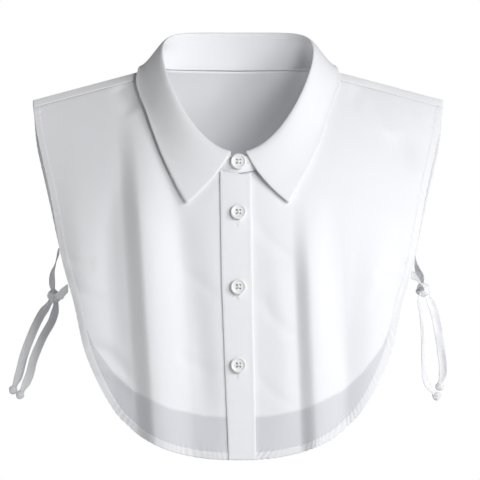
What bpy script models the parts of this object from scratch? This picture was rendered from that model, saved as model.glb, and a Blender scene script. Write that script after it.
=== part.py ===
"""A shirt-collar dickey of thin white cloth, hollow as it is worn.

Metres, +Z up. The front faces -Y, and +X is the right-hand side of the front view.
The origin is the middle of the neck, level with the seam of the collar at the shoulders.
"""

import math
from collections import namedtuple

import bpy
import bmesh
import numpy as np
from mathutils import Matrix, Vector

# Sizes of the cut
SHOULDER_HALF = 0.1845
SHOULDER_END_Z = -0.020
SHOULDER_SLOPE = 0.27
NAPE_ROUND = 0.020
SEAM_DROP = 0.007
SEAM_GAP = 0.0003
PANEL_WALL = 0.0012
COLLAR_WALL = 0.0018
NECK_SEAM_GAP = 0.0019
NECK_LAP_GAP = 0.0008
FRONT_LENGTH = 0.3425
BACK_LENGTH = 0.302
BACK_EASE = 0.003
BACK_EASE_X = 0.10
BACK_EASE_Z = -0.02
BACK_EASE_SPREAD = 0.05
YOKE_END_INSET = 0.0012

# Depths of the worn form
RIDGE_Y = 0.004
FRONT_DEPTH = 0.100
BACK_DEPTH = 0.070
SIDE_LOSS = 0.42
SIDE_POWER = 2.2
FULL_DROP = 0.185
FRONT_ROUNDING = 0.85
BACK_ROUNDING = 0.68
NORMAL_STEP = 0.0015

# Collar
SEAM_HALF = 0.078
NECK_SIDE_ANGLE = 78.0
SEAM_ANGLE = 88.0
FOLD_HALF = 0.0675
FOLD_BACK_Z = 0.040
FOLD_FALL = 0.108
FOLD_POWER = 2.6
FOLD_BACK_Y = 0.0270
FOLD_FRONT_Y = -0.050
FOLD_FORWARD = 0.028
FOLD_FORWARD_POWER = 1.8
FOLD_CAP = 0.0042
FALL_END_ANGLE = 174.0
FALL_LIFT = 0.0040
FOLD_ROLL = 0.0050
FRONT_ROLL = 0.0035
FRONT_ROLL_START = 110.0
FRONT_ROLL_SPREAD = 40.0
SEAM_EASE = 0.0060
FRONT_EASE = 0.0020
EASE_SHARE = 0.25
EASE_LEAN = 0.6
STAND_LAP_ANGLE = 12.0
STAND_LAP_OFFSET = 0.0012
LAP_START_ANGLE = 150.0
LAP_SPREAD_ANGLE = 18.0
STAND_BELLY = 0.0015

# Front opening, placket and buttons
LAP_SHIFT = 0.0008
LAP_BLEND = 0.022
UNDER_EDGE_X = -0.0125
LAP_END_X = 0.014
NECK_LEAD = 0.030
PLACKET_LIFT = PANEL_WALL + SEAM_GAP
BUTTON_DIAMETER = 0.0140
BUTTON_THICKNESS = 0.0030
BUTTON_RIM = 0.0016
BUTTON_DISH = 0.0008
BUTTON_LIP = 0.0008
BUTTON_TOP_ROUND = 0.0005
BUTTON_SIDE_ROUND = 0.0007
BUTTON_BACK_RISE = 0.0004
BUTTON_BACK_TAPER = 0.0006
BUTTON_BACK_INSET = 0.0022
BUTTON_HOLE = 0.0017
BUTTON_HOLE_SIDES = 8
BUTTON_SHARP_ANGLE = 35.0
BUTTON_HOLE_PITCH = 0.0034
BUTTON_STEPS = 20
BUTTON_X = 0.0005
BUTTON_HEIGHTS = (-0.1220, -0.1880, -0.2580)
TOP_BUTTON_RISE = 0.52
BUTTON_REST = 0.0002
TOP_BUTTON_REST = -0.0002

# Ties
TIE_WIDTH = 0.0070
TIE_WALL = 0.0012
TIE_STEP = 0.006
TIE_EDGE_GAP = 0.0019
GATHER = 0.40
GATHER_LENGTH = 0.009
KNOT_SIZE = (0.0125, 0.0100, 0.0135)
END_KNOT_SIZE = (0.0078, 0.0064, 0.0085)
KNOT_SEGMENTS = 10
KNOT_RINGS = 7

# Grid counts
CURVE_STEPS = 24
NECK_STEPS = 24
EDGE_STEPS = 14
PANEL_COLUMNS = 24
PANEL_ROWS = 26
BACK_COLUMNS = 15
NECK_COLUMNS = 6
BACK_ROWS = 15
YOKE_ROWS = 2
STAND_COLUMNS = 44
STAND_ROWS = 3
FALL_COLUMNS = 46
FALL_ROWS = 6
PLACKET_COLUMNS = 3
PLACKET_ROWS = 22
WELD_DISTANCE = 0.00001

Outline = namedtuple("Outline", "half_width z")
FRONT_OUTLINE = [
    Outline(0.1840, -0.0275),
    Outline(0.1800, -0.053),
    Outline(0.1680, -0.107),
    Outline(0.1580, -0.161),
    Outline(0.1465, -0.203),
    Outline(0.1370, -0.245),
    Outline(0.1220, -0.280),
    Outline(0.1090, -0.301),
    Outline(0.0990, -0.3115),
    Outline(0.0860, -0.3225),
    Outline(0.0640, -0.3335),
    Outline(0.0380, -0.3400),
    Outline(0.0150, -0.3424),
    Outline(0.0, -FRONT_LENGTH),
]
FRONT_CORNER = 7
BACK_OUTLINE = [
    Outline(SHOULDER_HALF, SHOULDER_END_Z),
    Outline(0.1800, -0.053),
    Outline(0.1680, -0.107),
    Outline(0.1560, -0.161),
    Outline(0.1430, -0.203),
    Outline(0.1290, -0.238),
    Outline(0.1110, -0.262),
    Outline(0.0930, -0.278),
    Outline(0.0610, -0.2935),
    Outline(0.0300, -0.3000),
    Outline(0.0, -BACK_LENGTH),
]

BACK_CORNER = 6

NeckRow = namedtuple("NeckRow", "angle z")
NECK_HEIGHTS = [
    NeckRow(0.0, 0.0067),
    NeckRow(50.0, 0.0074),
    NeckRow(NECK_SIDE_ANGLE, None),
    NeckRow(95.0, -0.0060),
    NeckRow(120.0, -0.0350),
    NeckRow(150.0, -0.0700),
    NeckRow(168.0, -0.0828),
    NeckRow(180.0, -0.0862),
    NeckRow(192.0, -0.0828),
]

FALL_RIDGE_SHARE = 0.42
FallRow = namedtuple("FallRow", "share x z")
FALL_EDGE = [
    FallRow(0.00, 0.0000, 0.0000),
    FallRow(0.15, 0.0330, 0.0005),
    FallRow(0.30, 0.0640, 0.0020),
    FallRow(0.40, 0.0860, 0.0066),
    FallRow(0.47, 0.0905, -0.0040),
    FallRow(0.55, 0.0870, -0.0180),
    FallRow(0.62, 0.0815, -0.0330),
    FallRow(0.70, 0.0760, -0.0500),
    FallRow(0.78, 0.0695, -0.0670),
    FallRow(0.86, 0.0615, -0.0840),
    FallRow(0.93, 0.0535, -0.0990),
    FallRow(1.00, 0.0450, -0.1135),
]

# Hanging folds: a ridge that stands out from the panel, steep on one side
Fold = namedtuple("Fold", "side x_top x_end z_top z_full height left right")
FOLDS = [
    Fold(1, -0.094, -0.072, -0.015, -0.140, 0.0100, 0.017, 0.036),
    Fold(1, 0.062, 0.072, -0.095, -0.200, 0.0085, 0.016, 0.030),
    Fold(1, -0.150, -0.128, -0.060, -0.200, 0.0030, 0.020, 0.026),
    Fold(1, 0.128, 0.112, -0.100, -0.220, 0.0030, 0.022, 0.022),
    Fold(-1, -0.082, -0.066, -0.030, -0.160, 0.0070, 0.024, 0.022),
    Fold(-1, 0.086, 0.070, -0.040, -0.180, 0.0065, 0.022, 0.026),
    Fold(-1, 0.010, 0.004, -0.060, -0.200, 0.0040, 0.026, 0.028),
]

# Soft troughs that run aslant between two points of the front
TROUGH_REACH = 0.25
TROUGH_FADE = 0.4
Trough = namedtuple("Trough", "x_from z_from x_to z_to depth width")
TROUGHS = [
    Trough(0.104, -0.014, 0.152, -0.072, 0.0035, 0.010),
    Trough(-0.106, -0.010, -0.094, -0.028, 0.0030, 0.009),
    Trough(-0.050, -0.130, -0.030, -0.290, 0.0025, 0.013),
]

PlacketRow = namedtuple("PlacketRow", "z left right")
PLACKET_EDGES = [
    PlacketRow(-0.0900, -0.0158, 0.0112),
    PlacketRow(-0.1820, -0.0144, 0.0126),
    PlacketRow(-0.3420, -0.0080, 0.0159),
]

Knot = namedtuple("Knot", "x y z size tilt")
KNOTS = {
    "tie_left_knot": Knot(-0.1655, 0.0000, -0.1970, KNOT_SIZE, -25),
    "tie_right_knot": Knot(0.1665, 0.0000, -0.1910, KNOT_SIZE, 20),
    "tie_left_back_end_knot": Knot(-0.2025, 0.0020, -0.2812, END_KNOT_SIZE, -25),
    "tie_left_front_end_knot": Knot(-0.1962, -0.0050, -0.2855, END_KNOT_SIZE, -30),
    "tie_right_back_end_knot": Knot(0.1815, 0.0030, -0.2780, END_KNOT_SIZE, 15),
    "tie_right_front_end_knot": Knot(0.1789, -0.0040, -0.2867, END_KNOT_SIZE, 50),
}

# Each tie leaves a panel's edge, and face is 1 for the front and -1 for the back
Tie = namedtuple("Tie", "name knot side face exit_z")
TIES = [
    Tie("tie_left_back", "tie_left_knot", -1, -1, -0.1570),
    Tie("tie_left_front", "tie_left_knot", -1, 1, -0.1895),
    Tie("tie_right_back", "tie_right_knot", 1, -1, -0.1640),
    Tie("tie_right_front", "tie_right_knot", 1, 1, -0.1770),
]
RoutePoint = namedtuple("RoutePoint", "x y z turn")
LEAD_POINTS = {
    "tie_left_back": [
        RoutePoint(-0.1645, 0.0290, -0.1665, 15),
        RoutePoint(-0.1675, 0.0140, -0.1800, 40),
    ],
    "tie_left_front": [
        RoutePoint(-0.1560, -0.0440, -0.1925, 15),
        RoutePoint(-0.1600, -0.0190, -0.1965, 40),
    ],
    "tie_right_back": [
        RoutePoint(0.1610, 0.0290, -0.1710, 15),
        RoutePoint(0.1650, 0.0150, -0.1800, 40),
    ],
    "tie_right_front": [
        RoutePoint(0.1605, -0.0430, -0.1800, 15),
        RoutePoint(0.1645, -0.0190, -0.1860, 40),
    ],
}
TAIL_POINTS = {
    "tie_left_back": [
        RoutePoint(-0.1710, 0.0000, -0.2050, 15),
        RoutePoint(-0.1780, 0.0005, -0.2150, 10),
        RoutePoint(-0.1855, 0.0010, -0.2310, 0),
        RoutePoint(-0.1925, 0.0020, -0.2500, -10),
        RoutePoint(-0.1970, 0.0020, -0.2670, -15),
    ],
    "tie_left_front": [
        RoutePoint(-0.1640, -0.0040, -0.2060, 25),
        RoutePoint(-0.1675, -0.0045, -0.2190, 20),
        RoutePoint(-0.1735, -0.0050, -0.2350, 30),
        RoutePoint(-0.1820, -0.0050, -0.2530, 15),
        RoutePoint(-0.1880, -0.0050, -0.2690, 10),
    ],
    "tie_right_back": [
        RoutePoint(0.1715, 0.0020, -0.1985, 10),
        RoutePoint(0.1765, 0.0030, -0.2100, 0),
        RoutePoint(0.1800, 0.0030, -0.2260, 0),
        RoutePoint(0.1828, 0.0030, -0.2450, -10),
        RoutePoint(0.1848, 0.0030, -0.2640, -15),
    ],
    "tie_right_front": [
        RoutePoint(0.1630, -0.0030, -0.2000, 60),
        RoutePoint(0.1645, -0.0040, -0.2130, 70),
        RoutePoint(0.1658, -0.0040, -0.2320, 75),
        RoutePoint(0.1663, -0.0040, -0.2560, 70),
        RoutePoint(0.1695, -0.0040, -0.2750, 50),
    ],
}

CLOTH = ("white_shirting", (0.86, 0.86, 0.89, 1.0), 0.80)
PEARL = ("button_white", (0.90, 0.90, 0.88, 1.0), 0.28)


def smooth(value):
    """Eases from 0 to 1 with level ends."""
    value = np.clip(value, 0.0, 1.0)
    return value * value * (3.0 - 2.0 * value)


def fine_curve(points):
    """A smooth curve through the given points, and the length up to each of its own."""
    points = np.asarray(points, float)
    before = 2.0 * points[0] - points[1]
    after = 2.0 * points[-1] - points[-2]
    rows = np.vstack([before, points, after])
    fine = []
    for a, b, c, d in zip(rows[:-3], rows[1:-2], rows[2:-1], rows[3:]):
        t = np.linspace(0.0, 1.0, CURVE_STEPS, endpoint=False)[:, None]
        bend = 2 * a - 5 * b + 4 * c - d
        twist = 3 * b - a - 3 * c + d
        fine.append(0.5 * (2 * b + (c - a) * t + bend * t**2 + twist * t**3))
    fine = np.vstack(fine + [points[-1:]])
    runs = np.linalg.norm(np.diff(fine, axis=0), axis=1)
    return fine, np.concatenate([[0.0], np.cumsum(runs)])


def curve_through(points, shares):
    """Points on a smooth curve through the given ones, at shares of its length."""
    fine, along = fine_curve(points)
    wanted = np.asarray(shares) * along[-1]
    columns = [np.interp(wanted, along, fine[:, k]) for k in range(fine.shape[1])]
    return np.stack(columns, axis=1)


def smooth_table(known, values, wanted):
    """A value read from a table by a cubic with the slopes of its neighbours."""
    known = np.asarray(known, float)
    values = np.asarray(values, float)
    steps = np.diff(values) / np.diff(known)
    slopes = np.concatenate([[steps[0]], 0.5 * (steps[1:] + steps[:-1]), [steps[-1]]])
    wanted = np.clip(wanted, known[0], known[-1])
    i = np.clip(np.searchsorted(known, wanted) - 1, 0, len(known) - 2)
    width = known[i + 1] - known[i]
    t = (wanted - known[i]) / width
    start = values[i] * (1 + 2 * t) * (1 - t) ** 2 + slopes[i] * width * t * (1 - t) ** 2
    end = values[i + 1] * t * t * (3 - 2 * t) - slopes[i + 1] * width * t * t * (1 - t)
    return start + end


def ridge_z(x):
    """Height of the shoulder ridge over a point across the garment."""
    return SHOULDER_END_Z + SHOULDER_SLOPE * (SHOULDER_HALF - np.hypot(x, NAPE_ROUND))


def fold_height(x, z, side):
    """How far the hanging folds stand out from the plain form."""
    out = np.zeros(np.broadcast(x, z).shape)
    for fold in FOLDS:
        if fold.side != side:
            continue
        fall = np.clip((fold.z_top - z) / (fold.z_top + FRONT_LENGTH), 0.0, 1.0)
        crest = fold.x_top + (fold.x_end - fold.x_top) * fall
        grown = smooth((fold.z_top - z) / (fold.z_top - fold.z_full))
        reach = np.where(x < crest, fold.left, fold.right)
        out = out + fold.height * grown * smooth(1.0 - np.abs(x - crest) / reach)
    return out


def trough_depth(x, z):
    """How far the slanted troughs sink into the front."""
    out = np.zeros(np.broadcast(x, z).shape)
    for trough in TROUGHS:
        run = np.array([trough.x_to - trough.x_from, trough.z_to - trough.z_from])
        length = np.linalg.norm(run)
        along = ((x - trough.x_from) * run[0] + (z - trough.z_from) * run[1]) / length**2
        aside = ((x - trough.x_from) * run[1] - (z - trough.z_from) * run[0]) / length
        first = smooth((along + TROUGH_REACH) / TROUGH_FADE)
        last = smooth((1.0 + TROUGH_REACH - along) / TROUGH_FADE)
        out = out + trough.depth * first * last * np.exp(-((aside / trough.width) ** 2))
    return out


def form_point(x, drop):
    """The worn form: drop below the ridge is positive on the front, negative on the back."""
    x, drop = np.broadcast_arrays(np.asarray(x, float), np.asarray(drop, float))
    fall = np.abs(drop)
    power = np.where(drop >= 0.0, FRONT_ROUNDING, BACK_ROUNDING)
    rounding = np.sin(0.5 * math.pi * np.clip(fall / FULL_DROP, 0.0, 1.0) ** power)
    width_loss = 1.0 - SIDE_LOSS * (np.abs(x) / SHOULDER_HALF) ** SIDE_POWER
    z = ridge_z(x) - fall
    front = -FRONT_DEPTH * width_loss * rounding
    front = front - fold_height(x, z, 1) + trough_depth(x, z) * smooth(fall / SEAM_DROP)
    back = BACK_DEPTH * width_loss * rounding + fold_height(x, z, -1)
    y = RIDGE_Y + np.where(drop >= 0.0, front, back)
    return np.stack([x, y, z], axis=-1)


def form_normal(x, drop):
    """The outward direction of the worn form."""
    step = NORMAL_STEP
    across = form_point(np.add(x, step), drop) - form_point(np.subtract(x, step), drop)
    down = form_point(x, np.add(drop, step)) - form_point(x, np.subtract(drop, step))
    normal = np.cross(down, across)
    return normal / np.linalg.norm(normal, axis=-1, keepdims=True)


def placket_edge(z, column):
    """Where an edge of the placket lies at a height."""
    heights = [-row.z for row in PLACKET_EDGES]
    return np.interp(-z, heights, [getattr(row, column) for row in PLACKET_EDGES])


def neck_z(angle):
    """Height of the neck seam at an angle from the middle of the back."""
    side_z = ridge_z(SEAM_HALF * math.sin(math.radians(NECK_SIDE_ANGLE)))
    heights = [side_z if row.z is None else row.z for row in NECK_HEIGHTS]
    return smooth_table([row.angle for row in NECK_HEIGHTS], heights, angle)


def neck_place(angle):
    """The neck seam as a place across the form and a drop below its ridge."""
    x = SEAM_HALF * np.sin(np.radians(angle))
    drop = np.maximum(ridge_z(x) - neck_z(np.abs(angle)), 0.0)
    side = np.where(np.abs(angle) > NECK_SIDE_ANGLE, 1.0, -1.0)
    return x, side * drop


def wrapped(angle):
    """An angle past the middle of the front, read on the other side."""
    return np.where(np.abs(angle) > 180.0, angle - np.sign(angle) * 360.0, angle)


def neck_ring(angle):
    """Points of the neck seam on the worn form."""
    x, drop = neck_place(wrapped(angle))
    return form_point(x, drop)


def fold_ring(angle):
    """Points of the collar's fold line."""
    turn = np.radians(angle)
    share = 0.5 * (1.0 - np.cos(turn))
    x = FOLD_HALF * np.sin(turn)
    y = FOLD_BACK_Y + (FOLD_FRONT_Y - FOLD_BACK_Y) * share
    y = y - FOLD_FORWARD * share**FOLD_FORWARD_POWER
    z = FOLD_BACK_Z - FOLD_FALL * share**FOLD_POWER
    return np.stack([x, y, z], axis=-1)


def outward(angle):
    """The level direction away from the neck."""
    turn = np.radians(angle)
    return np.stack([np.sin(turn), np.cos(turn), np.zeros_like(turn)], axis=-1)


def away_from_stand(angle):
    """The direction in which the leaf leaves the fold, square to the stand."""
    down = neck_ring(angle) - fold_ring(angle)
    down = down / np.linalg.norm(down, axis=-1, keepdims=True)
    level = outward(angle)
    square = level - down * np.sum(level * down, axis=-1, keepdims=True)
    return square / np.linalg.norm(square, axis=-1, keepdims=True)


def outline_parts(table, corner, rows, columns):
    """An outline's side from the top down, and its hem from the middle out."""
    fine, along = fine_curve(table)
    split = along[corner * CURVE_STEPS]
    side = np.linspace(0.0, split, rows + 1)
    hem = np.linspace(along[-1], split, columns + 1)
    read = [[np.interp(part, along, fine[:, k]) for k in (0, 1)] for part in (side, hem)]
    return np.stack(read[0], axis=1), np.stack(read[1], axis=1)


def patch(top, bottom, inner, outer):
    """A grid filled in between four edges that share their corners."""
    rows, columns = len(inner), len(top)
    v = np.linspace(0.0, 1.0, rows)[:, None, None]
    u = np.linspace(0.0, 1.0, columns)[None, :, None]
    across = (1 - v) * top[None] + v * bottom[None]
    down = (1 - u) * inner[:, None] + u * outer[:, None]
    upper = (1 - u) * top[0] + u * top[-1]
    lower = (1 - u) * bottom[0] + u * bottom[-1]
    return across + down - (1 - v) * upper - v * lower


def even(count):
    """Shares of a length, from 0 to 1."""
    return np.linspace(0.0, 1.0, count + 1)


def front_plan(side):
    """One front's cut seen from the front, as a grid of places across and heights."""
    neck = np.linspace(SEAM_ANGLE, 180.0, NECK_STEPS)
    x = SEAM_HALF * np.sin(np.radians(neck))
    away = np.stack([x, neck_z(neck)], axis=-1)
    tangent = np.gradient(away, axis=0)
    normal = np.stack([-tangent[:, 1], tangent[:, 0]], axis=-1)
    normal = normal / np.linalg.norm(normal, axis=-1, keepdims=True)
    gap = NECK_SEAM_GAP + NECK_LAP_GAP * smooth((neck - LAP_START_ANGLE) / LAP_SPREAD_ANGLE)
    neckline = away + normal * gap[:, None]
    neckline[0] = (neckline[0][0], ridge_z(neckline[0][0]) - SEAM_DROP - SEAM_GAP)
    edge_top = neckline[-1][1]
    heights = np.linspace(edge_top, -FRONT_LENGTH, EDGE_STEPS)
    if side > 0:
        edge_x = np.full(len(heights), UNDER_EDGE_X)
    else:
        edge_x = -placket_edge(heights, "right")
    centre_edge = np.stack([edge_x, heights], axis=-1)
    lead = smooth(1.0 - neckline[:, :1] / NECK_LEAD)
    neckline[:, :1] += lead * (centre_edge[0][0] - neckline[-1][0])
    inner = curve_through(np.vstack([neckline, centre_edge[1:]]), even(PANEL_ROWS))
    outline = np.array(FRONT_OUTLINE)
    outline[-1] = centre_edge[-1]
    outer, bottom = outline_parts(outline, FRONT_CORNER, PANEL_ROWS, PANEL_COLUMNS)
    ends = np.array([inner[0], outer[0]])
    top = ends[0] + (ends[1] - ends[0]) * even(PANEL_COLUMNS)[:, None]
    top[:, 1] = ridge_z(top[:, 0]) - SEAM_DROP - SEAM_GAP
    outer[0] = top[-1]
    grid = patch(top, bottom, inner, outer)
    grid[..., 0] *= side
    return grid


def front_surface(side, plan, lift=0.0):
    """Points of a front on the worn form, with its share of the lap at the opening."""
    x, z = plan[..., 0], plan[..., 1]
    drop = ridge_z(x) - z
    lapped = 1.0 - smooth((x * side - LAP_END_X) / LAP_BLEND)
    shift = lapped * LAP_SHIFT * (-side)
    points = form_point(x, drop)
    return points + form_normal(x, drop) * (shift + lift)[..., None]


def back_surface():
    """Points of the back, and of the yoke strips that wrap over the shoulders."""
    halves = []
    for side in (1, -1):
        ring_angles = np.linspace(0.0, NECK_SIDE_ANGLE, NECK_COLUMNS + 1)
        neck_x = (SEAM_HALF + NECK_SEAM_GAP) * np.sin(np.radians(ring_angles))
        neck_down = neck_z(ring_angles) - NECK_SEAM_GAP * np.cos(np.radians(ring_angles))
        neckline = np.stack([neck_x, neck_down], axis=-1)
        neckline[-1][1] = ridge_z(neckline[-1][0])
        shoulder_columns = BACK_COLUMNS - NECK_COLUMNS
        shoulder_x = np.linspace(neck_x[-1], SHOULDER_HALF, shoulder_columns + 1)[1:]
        shoulder = np.stack([shoulder_x, ridge_z(shoulder_x)], axis=-1)
        top = np.vstack([neckline, shoulder])
        outer, bottom = outline_parts(BACK_OUTLINE, BACK_CORNER, BACK_ROWS, BACK_COLUMNS)
        heights = np.linspace(top[0][1], -BACK_LENGTH, BACK_ROWS + 1)
        inner = np.stack([np.zeros_like(heights), heights], axis=-1)
        grid = patch(top, bottom, inner, outer)
        x, z = grid[..., 0], grid[..., 1]
        lower = smooth((BACK_EASE_Z - z) / BACK_EASE_SPREAD)
        x = x + BACK_EASE * lower * smooth((x - BACK_EASE_X) / BACK_EASE_SPREAD)
        points = form_point(x * side, -(ridge_z(x) - z))
        strips = []
        for row in range(1, YOKE_ROWS + 1):
            drop = SEAM_DROP * row / YOKE_ROWS
            inner_x = neck_x[-1] + YOKE_END_INSET * row / YOKE_ROWS
            strip_x = np.linspace(inner_x, SHOULDER_HALF, shoulder_columns + 1)
            strips.append(form_point(strip_x * side, np.full(strip_x.shape, drop)))
        halves.append((points, np.array(strips)))
    return halves


def stand_surface():
    """Points of the collar stand, one band whose ends lap at the front."""
    reach = 180.0 + STAND_LAP_ANGLE
    angles = np.linspace(-reach, reach, STAND_COLUMNS + 1)
    over = smooth((-angles - LAP_START_ANGLE) / LAP_SPREAD_ANGLE)
    under = smooth((angles - LAP_START_ANGLE) / LAP_SPREAD_ANGLE)
    shift = STAND_LAP_OFFSET * (over - under)
    low, fold = neck_ring(angles), fold_ring(angles)
    down = low - fold
    high = fold + down * (FOLD_CAP / np.linalg.norm(down, axis=1))[:, None]
    rows = []
    for share in even(STAND_ROWS):
        belly = STAND_BELLY * math.sin(math.pi * share)
        row = low + (high - low) * share + away_from_stand(angles) * (shift + belly)[:, None]
        rows.append(row)
    return np.array(rows)


def fall_surface():
    """Points of the collar leaf, from its fold down to its pointed edge."""
    shares = np.linspace(-1.0, 1.0, FALL_COLUMNS + 1)
    angles = shares * FALL_END_ANGLE
    sign = np.where(shares < 0, -1.0, 1.0)
    known = [row.share for row in FALL_EDGE]
    x = smooth_table(known, [row.x for row in FALL_EDGE], np.abs(shares))
    z = smooth_table(known, [row.z for row in FALL_EDGE], np.abs(shares))
    side = np.where(np.abs(shares) > FALL_RIDGE_SHARE, 1.0, -1.0)
    drop = side * np.maximum(ridge_z(x) - z, 0.0)
    normal, away = form_normal(x * sign, drop), away_from_stand(angles)
    low = form_point(x * sign, drop) + normal * FALL_LIFT
    high, neck = fold_ring(angles), neck_ring(angles)
    front = smooth((np.abs(angles) - FRONT_ROLL_START) / FRONT_ROLL_SPREAD)[:, None]
    roll = high + away * (FOLD_ROLL + FRONT_ROLL * front)
    lean = EASE_LEAN * away + (1.0 - EASE_LEAN) * normal
    ease = neck + (low - neck) * EASE_SHARE + lean * (SEAM_EASE + FRONT_EASE * front)
    rows = []
    for v in even(FALL_ROWS):
        first = (1 - v) ** 3 * high + 3 * v * (1 - v) ** 2 * roll
        last = 3 * v * v * (1 - v) * ease + v**3 * low
        rows.append(first + last)
    return np.array(rows)


def placket_surface():
    """Points of the placket, made from the over front's points and moved out."""
    across = even(PLACKET_COLUMNS)[None, :]
    first = PLACKET_EDGES[0]
    top_x = first.left + (first.right - first.left) * across
    neck = 180.0 - np.degrees(np.arcsin(np.abs(top_x) / SEAM_HALF))
    top_z = neck_z(neck) - NECK_SEAM_GAP - NECK_LAP_GAP - SEAM_GAP
    z = top_z + (-FRONT_LENGTH - top_z) * even(PLACKET_ROWS)[:, None]
    left, right = placket_edge(z, "left"), placket_edge(z, "right")
    plan = np.stack([left + (right - left) * across, z], axis=-1)
    return front_surface(-1, plan, np.full(plan.shape[:2], PLACKET_LIFT))


def material(name, colour, roughness):
    """A plain Principled material, made once."""
    made = bpy.data.materials.get(name)
    if made is None:
        made = bpy.data.materials.new(name)
        made.use_nodes = True
        shader = made.node_tree.nodes["Principled BSDF"]
        shader.inputs["Base Color"].default_value = colour
        shader.inputs["Roughness"].default_value = roughness
        shader.inputs["Metallic"].default_value = 0.0
    return made


def keep(name, mesh, collection, finish):
    """An object of the part, with its material."""
    item = bpy.data.objects.new(name, mesh)
    mesh.materials.append(material(*finish))
    collection.objects.link(item)
    return item


def wall(item, thickness):
    """Gives an open surface an even wall, half to each side."""
    solidify = item.modifiers.new("Wall", "SOLIDIFY")
    solidify.thickness = thickness
    solidify.offset = 0.0
    solidify.use_even_offset = True
    return item


def surface_mesh(name, grids):
    """A mesh of one or more grids, joined where their points coincide."""
    shell = bmesh.new()
    for grid in grids:
        rows, columns = grid.shape[:2]
        made = [[shell.verts.new(grid[i, j]) for j in range(columns)] for i in range(rows)]
        for i in range(rows - 1):
            for j in range(columns - 1):
                corners = (made[i][j], made[i + 1][j], made[i + 1][j + 1], made[i][j + 1])
                shell.faces.new(corners)
    bmesh.ops.remove_doubles(shell, verts=shell.verts, dist=WELD_DISTANCE)
    bmesh.ops.recalc_face_normals(shell, faces=shell.faces)
    mesh = bpy.data.meshes.new(name)
    shell.to_mesh(mesh)
    shell.free()
    mesh.shade_smooth()
    return mesh


def add_front(name, side, collection):
    """One front panel."""
    points = front_surface(side, front_plan(side))
    return wall(keep(name, surface_mesh(name, [points]), collection, CLOTH), PANEL_WALL)


def add_back(collection):
    """The back, in one piece with the strips over the shoulders."""
    grids = []
    for points, strips in back_surface():
        grids.append(points)
        over = np.concatenate([points[:1, NECK_COLUMNS:], strips])
        grids.append(over)
    mesh = surface_mesh("back", grids)
    return wall(keep("back", mesh, collection, CLOTH), PANEL_WALL)


def add_sheet(name, points, thickness, collection):
    """A collar piece or the placket, from its grid of points."""
    return wall(keep(name, surface_mesh(name, [points]), collection, CLOTH), thickness)


def button_profile():
    """Half a section of a button, from the middle of its face round to its back."""
    radius = 0.5 * BUTTON_DIAMETER
    top = BUTTON_THICKNESS
    return [
        (0.0, top - BUTTON_DISH),
        (radius - BUTTON_RIM - BUTTON_LIP, top - BUTTON_DISH),
        (radius - BUTTON_RIM, top),
        (radius - BUTTON_TOP_ROUND, top),
        (radius, top - BUTTON_SIDE_ROUND),
        (radius - BUTTON_BACK_TAPER, BUTTON_BACK_RISE),
        (radius - BUTTON_BACK_INSET, 0.0),
        (0.0, 0.0),
    ]


def button_mesh(collection, cutters):
    """A turned button with four holes cut through it."""
    profile = bmesh.new()
    points = [profile.verts.new((x, 0.0, z)) for x, z in button_profile()]
    for a, b in zip(points[:-1], points[1:]):
        profile.edges.new((a, b))
    mesh = bpy.data.meshes.new("button_profile")
    profile.to_mesh(mesh)
    profile.free()
    turned = bpy.data.objects.new("button_blank", mesh)
    collection.objects.link(turned)
    screw = turned.modifiers.new("Turn", "SCREW")
    screw.steps = BUTTON_STEPS
    screw.render_steps = BUTTON_STEPS
    screw.use_merge_vertices = True
    screw.merge_threshold = WELD_DISTANCE
    hole = bmesh.new()
    half = 0.5 * BUTTON_HOLE_PITCH
    for x, y in ((half, 0), (-half, 0), (0, half), (0, -half)):
        place = Matrix.Translation((x, y, 0.5 * BUTTON_THICKNESS))
        bmesh.ops.create_cone(
            hole,
            cap_ends=True,
            segments=BUTTON_HOLE_SIDES,
            radius1=0.5 * BUTTON_HOLE,
            radius2=0.5 * BUTTON_HOLE,
            depth=3 * BUTTON_THICKNESS,
            matrix=place,
        )
    hole_mesh = bpy.data.meshes.new("button_holes")
    hole.to_mesh(hole_mesh)
    hole.free()
    cutter = bpy.data.objects.new("button_holes", hole_mesh)
    cutter.hide_render = True
    cutter.display_type = "WIRE"
    cutters.objects.link(cutter)
    cut = turned.modifiers.new("Holes", "BOOLEAN")
    cut.object = cutter
    cut.operation = "DIFFERENCE"
    cut.solver = "EXACT"
    bpy.context.view_layer.update()
    evaluated = turned.evaluated_get(bpy.context.evaluated_depsgraph_get())
    cut_mesh = bpy.data.meshes.new_from_object(evaluated)
    cut_mesh.name = "button"
    bpy.data.objects.remove(turned)
    cut_mesh.set_sharp_from_angle(angle=math.radians(BUTTON_SHARP_ANGLE))
    cut_mesh.materials.append(material(*PEARL))
    return cut_mesh


def add_button(name, mesh, place, normal, collection):
    """A button seated on the cloth, facing along the cloth's normal."""
    item = bpy.data.objects.new(name, mesh)
    item.rotation_euler = Vector(normal).to_track_quat("Z", "Y").to_euler()
    item.location = place
    collection.objects.link(item)
    return item


def add_buttons(collection, cutters):
    """Three buttons down the placket and one on the collar stand."""
    mesh = button_mesh(collection, cutters)
    seat = PLACKET_LIFT + LAP_SHIFT + 0.5 * PANEL_WALL + SEAM_GAP
    for number, z in enumerate(BUTTON_HEIGHTS, start=2):
        x = BUTTON_X
        drop = ridge_z(x) - z
        normal = form_normal(x, drop)
        place = form_point(x, drop) + normal * (seat + BUTTON_REST)
        add_button(f"button_{number}", mesh, place, normal, collection)
    low, high = neck_ring(np.array(-180.0)), fold_ring(np.array(-180.0))
    along = (high - low) / np.linalg.norm(high - low)
    normal = np.cross(np.array([1.0, 0.0, 0.0]), along)
    seat = STAND_LAP_OFFSET + STAND_BELLY + 0.5 * COLLAR_WALL + SEAM_GAP
    place = low + (high - low) * TOP_BUTTON_RISE + normal * (seat + TOP_BUTTON_REST)
    place[0] = BUTTON_X
    add_button("button_1", mesh, place, normal, collection)


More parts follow.
